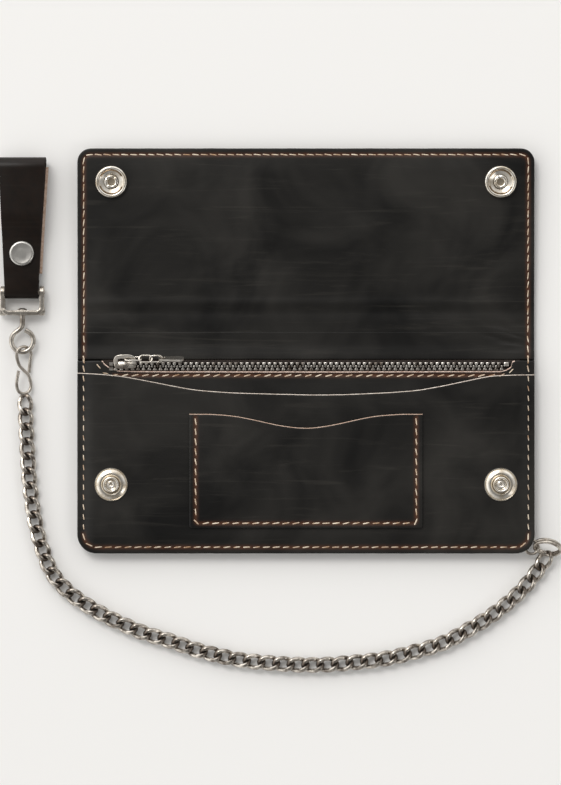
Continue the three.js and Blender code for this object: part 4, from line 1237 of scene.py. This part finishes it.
card_seam = rounded_u(CARD_SEAM_X, CARD_TOP - 1.2, CARD_SEAM_Y, 1.2)
panel, seam = leather_sheet(
    lambda x: CARD_BOTTOM + corner_rise(x, CARD_HALF, 1.2),
    card_mouth,
    CARD_HALF,
    card_under,
    POCKET_T,
    seams=[card_seam],
    raw=("high",),
    raw_rows=3,
    spacing=1.5,
)
make_piece(
    "card_pocket_leather",
    [panel],
    [inner_black, fibrous("half_dyed_edge", (0.3, 0.2, 0.15), (0.05, 0.03, 0.022)), raw_edge, flesh],
    "wallet",
    ["card_pocket"],
    values={"seam": seam},
)

# ---------------------------------------------------------------- Stitching
# Thick waxed thread from cream to tan, sewn by machine: slanted stitches in a sunken line, seen on
# the inside and again on the outside of the leather.
THREAD_W = 0.5
THREAD_H = 0.4
thread, tree, shader = start_material("waxed_tan_thread")
place = add_node(tree, "ShaderNodeTexCoord").outputs["Object"]
tone = add_node(
    tree, "ShaderNodeTexNoise", None, {"Vector": place, "Scale": 260.0, "Detail": 3.0, "Roughness": 0.6}
).outputs[0]
colour = mixed(tree, ranged(tree, tone, (0.35, 0.65)), (0.42, 0.26, 0.15, 1), (0.86, 0.75, 0.6, 1))
ply = add_node(
    tree,
    "ShaderNodeTexWave",
    {"bands_direction": "DIAGONAL"},
    {"Vector": place, "Scale": 900.0, "Distortion": 1.0},
).outputs["Fac"]
tree.links.new(colour, shader.inputs["Base Color"])
tree.links.new(relief(tree, ply, 0.5, 0.1), shader.inputs["Normal"])
shader.inputs["Roughness"].default_value = 0.6


def stitches(line, pitch, surface, seed, slant=9, fill=0.82, height=THREAD_H, below=False, wide=THREAD_W):
    """Slanted stitches along a line, each one diving into the leather at both ends."""
    r = np.random.default_rng(seed)
    p = np.array(line, float)
    step = np.linalg.norm(np.diff(p, axis=0), axis=1)
    along = np.concatenate([[0], np.cumsum(step)])
    count = max(1, round(along[-1] / pitch))
    pitch = along[-1] / count
    parts = []
    for i in range(count):
        at = (i + 0.5) * pitch
        x, y = (np.interp(at, along, p[:, k]) for k in (0, 1))
        x0, y0 = (np.interp(at - 0.4, along, p[:, k]) for k in (0, 1))
        x1, y1 = (np.interp(at + 0.4, along, p[:, k]) for k in (0, 1))
        way = math.atan2(y1 - y0, x1 - x0) + math.radians(slant + r.normal(0, 2))
        long = pitch * fill * (1 + r.normal(0, 0.03)) / 2
        s = np.linspace(-1, 1, 9)
        width = wide / 2 * np.sqrt(np.maximum(1 - np.abs(s) ** 3.5, 0.03)) * (1 + r.normal(0, 0.04))
        a = np.arange(8) * math.pi / 4
        u = np.broadcast_to(long * s[:, None], (9, 8))
        v = width[:, None] * np.cos(a)
        w = np.sin(a) * height / 2 * np.sqrt(np.maximum(1 - np.abs(s) ** 4, 0.05))[:, None]
        w = w - (0.1 + 0.22 * s**4)[:, None]
        px = x + u * math.cos(way) - v * math.sin(way)
        py = y + u * math.sin(way) + v * math.cos(way)
        pz = surface(px, py) + (-w if below else w)
        parts.append(skin(np.stack([px, py, pz], axis=-1)))
    return parts


def side_top(x, y):
    """Upper face of whatever layer lies under the side seams."""
    on_front = front_top(x, y)
    on_coin = pocket_top(x, y)
    on_lining = lining_top(x, y)
    return np.where(y < mouth(x), on_front, np.where(y < ROLL_Y, on_coin + 0.15, on_lining))


def outer_face(x, y):
    return lift(y) + 0.3


whole_seam = rounded_u(HALF_W - SEAM_INSET, MEET_Y - 0.4, EDGE_Y + SEAM_INSET, LOWER_CORNER - SEAM_INSET)
lower_thread = make_piece(
    "lower_seam_thread",
    stitches(whole_seam, 4.1, side_top, 61, slant=7)
    + stitches(whole_seam, 4.1, outer_face, 62, height=0.36, below=True),
    [thread],
)
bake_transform(lower_thread)
flap_thread = make_piece(
    "flap_seam_thread",
    stitches(flap_seam, 3.7, lining_top, 63, slant=-6, fill=0.93, wide=0.44)
    + stitches(flap_seam, 3.7, outer_face, 64, height=0.36, below=True),
    [thread],
)
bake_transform(flap_thread)
zip_seam = smooth_line(
    [
        (-87.2, 38.0), (-86.4, 36.0), (-84.9, 33.9), (-82.6, 32.8), (-79, 32.35), (-40, 32.2), (40, 32.15),
        (78, 32.2), (82.4, 32.8), (85.4, 34.0), (87.2, 35.4),
    ],
    1.0,
)
bar_tacks = []
for side in (-1, 1):
    for y in (38.0, 39.6):
        tack = [(side * (HALF_W - SEAM_INSET - 0.2), y - 0.9), (side * (HALF_W - SEAM_INSET + 0.2), y + 0.9)]
        bar_tacks += stitches(tack, 2.0, lambda x, y: pocket_top(x, y) + 0.35, 70, fill=1.0)


def zip_seam_top(x, y):
    return np.where(y < mouth(x) - 0.2, front_top(x, y), pocket_top(x, y))


make_piece(
    "pocket_threads",
    stitches(zip_seam, 4.2, zip_seam_top, 65, slant=16)
    + stitches(card_seam, 4.15, card_top, 66)
    + bar_tacks,
    [thread],
    "wallet",
)

# ---------------------------------------------------------------- Snap fasteners
# Pressed brass snaps plated in polished nickel. Each socket is clenched by a cap's flared shank
# through the flap, and each stud by a post through the bill pocket's front.
SNAP_R = 6.75
SNAP_SIDES = 72
CAP_SIDES = 64
STUD_R = 6.98
socket_low, socket_high = box_of("snap_socket_right")
snap_x = (socket_low[0] + socket_high[0]) / 2
stud_low, stud_high = box_of("snap_stud_right")
stud_y = (stud_low[1] + stud_high[1]) / 2
SOCKET_Y = UPPER_FOLD_Y + 55.3
FOLD_Z = 2.9
SNAP_BASE = 3.05

snap_metal = worn_metal("snap_nickel", (0.9, 0.865, 0.8), (0.5, 0.43, 0.33), 0.16, 0.3, 0.03, recess_shade="recess_shade")
spring_brass = worn_metal("snap_spring_brass", (0.33, 0.24, 0.15), (0.16, 0.11, 0.07), 0.3, 0.45, 0.04)
TILT = Matrix.Rotation(FLAP_TILT, 3, "X")


def on_flap(part, x):
    """Carries a part from the flap's flat frame, about a snap's axis, to where the flap lies."""
    vertices = np.asarray(part[0], float) + (x, SOCKET_Y - UPPER_FOLD_Y, -FOLD_Z)
    return (vertices @ np.array(TILT).T + (0, UPPER_FOLD_Y, FOLD_Z), *part[1:])


socket_profile = [
    (0.05, 0.0), (6.5, 0.0), (6.72, 0.2), (SNAP_R, 0.7), (6.7, 1.35), (6.5, 1.85), (6.15, 2.15),
    (5.75, 2.2), (5.4, 2.05), (5.2, 1.8), (5.12, 1.5), (5.2, 1.25), (5.1, 1.15), (4.6, 1.0), (3.3, 0.4),
    (3.0, 0.34), (2.9, 0.3), (0.05, 0.3),
]
cap_profile = [
    (0.05, -1.58), (3.5, -1.56), (5.2, -1.4), (6.1, -1.1), (6.6, -0.65), (6.7, -0.25), (6.45, -0.03),
    (1.6, 0.02), (1.6, SNAP_BASE + 0.5), (1.95, SNAP_BASE + 0.8), (2.55, SNAP_BASE + 0.68),
    (2.8, SNAP_BASE + 0.72), (2.78, SNAP_BASE + 0.95), (2.4, SNAP_BASE + 1.16),
    (1.85, SNAP_BASE + 1.12), (1.5, SNAP_BASE + 0.8), (1.2, SNAP_BASE + 0.3), (0.75, SNAP_BASE),
    (0.05, SNAP_BASE - 0.15),
]
stud_profile = [
    (0.05, 0.0), (6.8, 0.0), (STUD_R, 0.18), (6.98, 0.5), (6.85, 0.72), (6.62, 0.74), (6.42, 0.55),
    (6.2, 0.42), (5.6, 0.72), (4.9, 1.08), (4.2, 1.12), (3.7, 0.8), (3.38, 0.6), (3.2, 0.75),
    (3.02, 1.3), (3.06, 1.9), (3.24, 2.35), (3.22, 2.68), (3.0, 2.86), (2.66, 2.86), (2.42, 2.66),
    (2.2, 2.1), (1.8, 1.7), (1.35, 1.72), (1.05, 1.95), (0.75, 1.85), (0.5, 1.45), (0.05, 1.35),
]


def ring_shade(part, segments, dark):
    """How much painted shade each ring of a turned part gets, from {index of the ring: amount}."""
    values = np.zeros(len(part[0]))
    for k, amount in dark.items():
        values[k * segments : (k + 1) * segments] = amount
    return values


for side, sign in (("left", -1), ("right", 1)):
    x = sign * snap_x
    socket = turned(socket_profile, SNAP_SIDES)
    # Painted shade in the socket's inner lip and round its centre boss.
    dark = ring_shade(socket, SNAP_SIDES, {10: 0.6, 11: 1, 12: 0.9, 14: 0.35, 15: 0.6, 16: 1, 17: 1})
    socket = moved(socket, shift=(0, 0, SNAP_BASE))
    springs, glow = [on_flap(socket, x)], [dark]
    for start, end in ((28, 152), (200, 338)):
        bend = [
            (4.86 * math.cos(math.radians(a)), 4.86 * math.sin(math.radians(a)), SNAP_BASE + 1.45)
            for a in range(start, end + 1, 4)
        ]
        spring = skin(swept(bend, circle(0.28, 8)))
        springs.append((*on_flap(spring, x), [1] * len(spring[1])))
        glow.append(np.ones(len(spring[0])))
    make_piece(
        f"snap_socket_shell_{side}",
        springs,
        [snap_metal, spring_brass],
        "flap",
        [f"snap_socket_{side}"],
        values={"recess_shade": np.concatenate(glow)},
    )

    def ragged(angle, radius):
        """The cap's flared shank splits unevenly where it is clenched."""
        rim = np.exp(-(((radius - 2.2) / 0.7) ** 2))
        return 0.09 * rim * (np.sin(5 * angle + sign) + 0.6 * np.sin(9 * angle + 2))

    cap = turned(cap_profile, CAP_SIDES, ragged)
    cap[0][:, 2] = np.maximum(cap[0][:, 2], -1.58)
    # Painted shade on the cap's shank and inside its clenched flare.
    dark = ring_shade(cap, CAP_SIDES, {7: 1, 8: 1, 9: 1, 10: 0.8, 15: 0.5, 16: 1, 17: 0.9})
    make_piece(
        f"snap_cap_shell_{side}",
        [on_flap(cap, x)],
        [snap_metal],
        "flap",
        [f"snap_cap_{side}"],
        values={"recess_shade": dark},
    )
    base = float(front_top(np.array(x), np.array(stud_y)))
    stud = turned(stud_profile, SNAP_SIDES, lambda a, radius: 0.03 * np.exp(-radius) * np.sin(3 * a))
    # Painted shade in the stud's grooves and round its top.
    groove_shade = {6: 0.7, 7: 0.8, 10: 0.3, 11: 0.8, 12: 1, 13: 0.8, 14: 0.6, 20: 0.3, 21: 0.6}
    dark = ring_shade(stud, SNAP_SIDES, groove_shade)
    make_piece(
        f"snap_stud_shell_{side}",
        [moved(stud, shift=(x, stud_y, base - 0.05))],
        [snap_metal],
        "wallet",
        [f"snap_stud_{side}", f"snap_post_{side}"],
        values={"recess_shade": dark},
    )

# ---------------------------------------------------------------- Chain's anchor
# A short leather tab is sewn into the corner and holds a plain ring. A double-coiled split ring
# joins that to the chain.
anchor_low, anchor_high = box_of("anchor_ring")
anchor_at = (anchor_low + anchor_high) / 2
ANCHOR_R = 2.8
ANCHOR_WIRE = 1.2
around = np.radians(np.arange(0, 360, 8))
loop = np.stack([ANCHOR_R * np.cos(around), ANCHOR_R * np.sin(around), 0 * around], axis=1) + anchor_at
ring = skin(swept(loop, circle(ANCHOR_WIRE / 2, 12), closed=True), closed=True)
make_piece("anchor_ring_wire", [ring], [steel], "wallet", ["anchor_ring"])

tab_low = box_of("chain_tab")[0]
TAB_T = 1.1
half_tab = 1.7
wrap = [(tab_low[0], anchor_at[2] - 0.55)]
wrap += [
    (anchor_at[0] - ANCHOR_R + 1.15 * math.sin(a), anchor_at[2] - 1.15 * math.cos(a))
    for a in np.radians(np.arange(20, 161, 20))
]
wrap += [(tab_low[0], anchor_at[2] + 0.55)]
tab_y = anchor_at[1] + 0.75
line = smooth_line([(x, tab_y, z) for x, z in wrap], 0.6)
flat = swept(line, np.zeros((1, 2)))[:, 0]
ahead = np.gradient(flat, axis=0)
ahead /= np.linalg.norm(ahead, axis=1)[:, None]
normal = np.stack([-ahead[:, 2], 0 * ahead[:, 0], ahead[:, 0]], axis=1)
section = rounded_bar(half_tab, TAB_T / 2 - 0.1, 0.25)
across = section[None, :, :1] * np.array([0, 1.0, 0])
rings = flat[:, None] + across + section[None, :, 1:] * normal[:, None]
make_piece("chain_tab_leather", [skin(rings)], [outer_black], "wallet", ["chain_tab"])

SPLIT_R = 5.45
SPLIT_WIRE = 1.2
COIL_GAP = 1.1
split_low, split_high = box_of("split_ring")
tilt = Matrix.Rotation(math.radians(-20), 3, "Y") @ Matrix.Rotation(math.radians(57), 3, "X")
split_middle = (split_low + split_high) / 2
split_at = np.array([split_middle[0], anchor_at[1], split_middle[2] + 0.3])
coil = []
for a in np.radians(np.arange(200, 200 + 720, 8)):
    turn = (a - math.radians(200)) / (2 * math.pi)
    step = smoothstep(turn, 0.82, 1.18)
    coil.append((SPLIT_R * math.cos(a), SPLIT_R * math.sin(a), COIL_GAP * (step - 0.5)))
coil = np.array(coil) @ np.array(tilt).T + split_at
split = skin(swept(coil, rounded_bar(SPLIT_WIRE / 2, SPLIT_WIRE / 2, 0.3)))
make_piece("split_ring_coil", [split], [steel], "wallet", ["split_ring"])

# ---------------------------------------------------------------- Belt loop
# One strap of thick black leather goes round the clevis bar, up the front, over, and down the back as
# a slightly wider tail with a raw tan edge. A snap closes it.
strap_low, strap_high = box_of("belt_strap")
tail_low = box_of("strap_tail")[0]
STRAP_T = 1.4
STRAP_HALF = (strap_high[0] - strap_low[0]) / 2
STRAP_END_HALF = 6.9
PINCH_Y, PINCH_TOP = 88.3, 6.4
FULL_Y, LOOP_TOP = 98.0, 9.0
EYE_OF_STRAP = 2.0
loop_y = strap_high[1] - (LOOP_TOP - 0.6) / 2
loop_z = (LOOP_TOP + 0.6) / 2
loop_r = (LOOP_TOP - 0.6) / 2 - STRAP_T / 2


def strap_half(y):
    return np.interp(y, [64, 84.5, strap_high[1]], [STRAP_END_HALF, 7.85, STRAP_HALF])


def strap_middle(y):
    """The strap is cut a little askew."""
    return swivel_x + np.interp(y, [64, 84.5, strap_high[1]], [-0.2, -0.15, 0.25])


def band(route, half_of, thickness, widen=0.0, slant=0.0):
    """A strap of leather along a (y, z) route, its width set by where it is along Y.

    widen adds width on its right side, and slant cuts that side back towards the lower face."""
    line = smooth_line(route, 1.0)
    ahead = np.gradient(line, axis=0)
    ahead /= np.linalg.norm(ahead, axis=1)[:, None]
    rings = []
    for (y, z), (dy, dz) in zip(line, ahead):
        section = rounded_bar(half_of(y) + widen / 2, thickness / 2, 0.45)
        cut_back = -slant * (section[:, 0] > 0) * (0.5 + section[:, 1] * dy / thickness)
        across = strap_middle(y) + widen / 2 + section[:, 0] + cut_back
        ring = np.column_stack([across, y - section[:, 1] * dz, z + section[:, 1] * dy])
        rings.append(ring)
    rings = np.array(rings)
    part = skin(rings)
    m = rings.shape[1]
    edge = np.abs(section[:, 0]) > np.abs(section[:, 0]).max() - 0.3
    right, left = edge & (section[:, 0] > 0), edge & (section[:, 0] < 0)
    numbers = []
    for i in range(len(rings) - 1):
        for k in range(m):
            l = (k + 1) % m
            numbers.append(2 if right[k] and right[l] else 1 if left[k] and left[l] else 0)
    numbers += [1, 1]
    inset = np.abs(rings[..., 0] - swivel_x) - (np.array([half_of(y) for y, _ in line])[:, None] - 1.6)
    return (*part, numbers), np.clip(inset / 1.6, 0, 1).ravel() * 0.5


eye = [
    (bar_y + EYE_OF_STRAP * math.cos(a), swivel_z + EYE_OF_STRAP * math.sin(a))
    for a in np.radians(np.arange(20, -271, -20))
]
front_leg = [(bar_y + 5.0, 2.5), *eye]
leg_mid = STRAP_T / 2
front_leg += [
    (bar_y + 4.0, 5.25), (bar_y + 9.0, 5.4), (77, 5.55), (PINCH_Y, PINCH_TOP - leg_mid + 0.05), (93, 6.9),
    (FULL_Y, LOOP_TOP - leg_mid - 0.15), (104, LOOP_TOP - leg_mid), (loop_y - 3, LOOP_TOP - leg_mid),
]
front_leg += [
    (loop_y + loop_r * math.cos(a), loop_z + loop_r * math.sin(a))
    for a in np.radians(np.arange(90, -90, -15))
]
front_leg += [(loop_y + 0.2, loop_z - loop_r)]
strap_black = waxed(
    "strap_black_leather", (0.003, 0.0027, 0.0024), (0.009, 0.008, 0.0068), (0.02, 0.01, 0.006), 0.3, 0.42,
    grain=1300.0, gloss=0.18,
)
body, seam = band(front_leg, strap_half, STRAP_T)
EDGES = [strap_black, dyed_edge, dyed_edge]
make_piece(
    "belt_strap_leather", [body], EDGES, "strap", ["belt_strap"], values={"seam": seam}
)
tail_z = loop_z - loop_r
TAIL_PAST = 1.15
tail_route = [(y, tail_z) for y in (loop_y + 0.25, loop_y - 6, 100, 85, tail_low[1])]
body, seam = band(tail_route, strap_half, STRAP_T, widen=TAIL_PAST, slant=1.0)
strap_tail = make_piece(
    "belt_tail_leather",
    [body],
    [strap_black, dyed_edge, raw_edge],
    replaced=["strap_tail"],
    values={"seam": seam},
)
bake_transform(strap_tail)
cap_low, cap_high = box_of("strap_cap")
CAP_R = 5.2
cap_y = (cap_low[1] + cap_high[1]) / 2
cap_base = 6.0
loop_cap_profile = [
    (0.05, 4.2), (1.5, 4.2), (1.5, cap_base), (CAP_R - 0.1, cap_base), (CAP_R, cap_base + 0.6),
    (CAP_R - 0.05, cap_base + 1.2), (CAP_R - 0.3, cap_base + 1.6), (CAP_R - 0.75, cap_base + 1.8),
    (CAP_R - 1.2, cap_base + 1.76), (CAP_R - 1.7, cap_base + 1.66), (2.0, cap_base + 1.66),
    (0.05, cap_base + 1.68),
]
cap = turned(loop_cap_profile, CAP_SIDES)
# Painted shade on the cap's flat face inside its bright rim.
dark = ring_shade(cap, CAP_SIDES, {8: 0.5, 9: 0.55, 10: 0.5, 11: 0.45})
loop_cap = worn_metal(
    "loop_cap_nickel", (0.72, 0.7, 0.66), (0.42, 0.41, 0.39), 0.16, 0.42, 0.03, recess_shade="recess_shade"
)
make_piece(
    "belt_cap_shell",
    [moved(cap, shift=(swivel_x, cap_y, 0))],
    [loop_cap],
    "strap",
    ["strap_cap"],
    values={"recess_shade": dark},
)
for node in ("strap_socket", "strap_stud", "strap_post"):
    restyle(node, polished, 0.12)
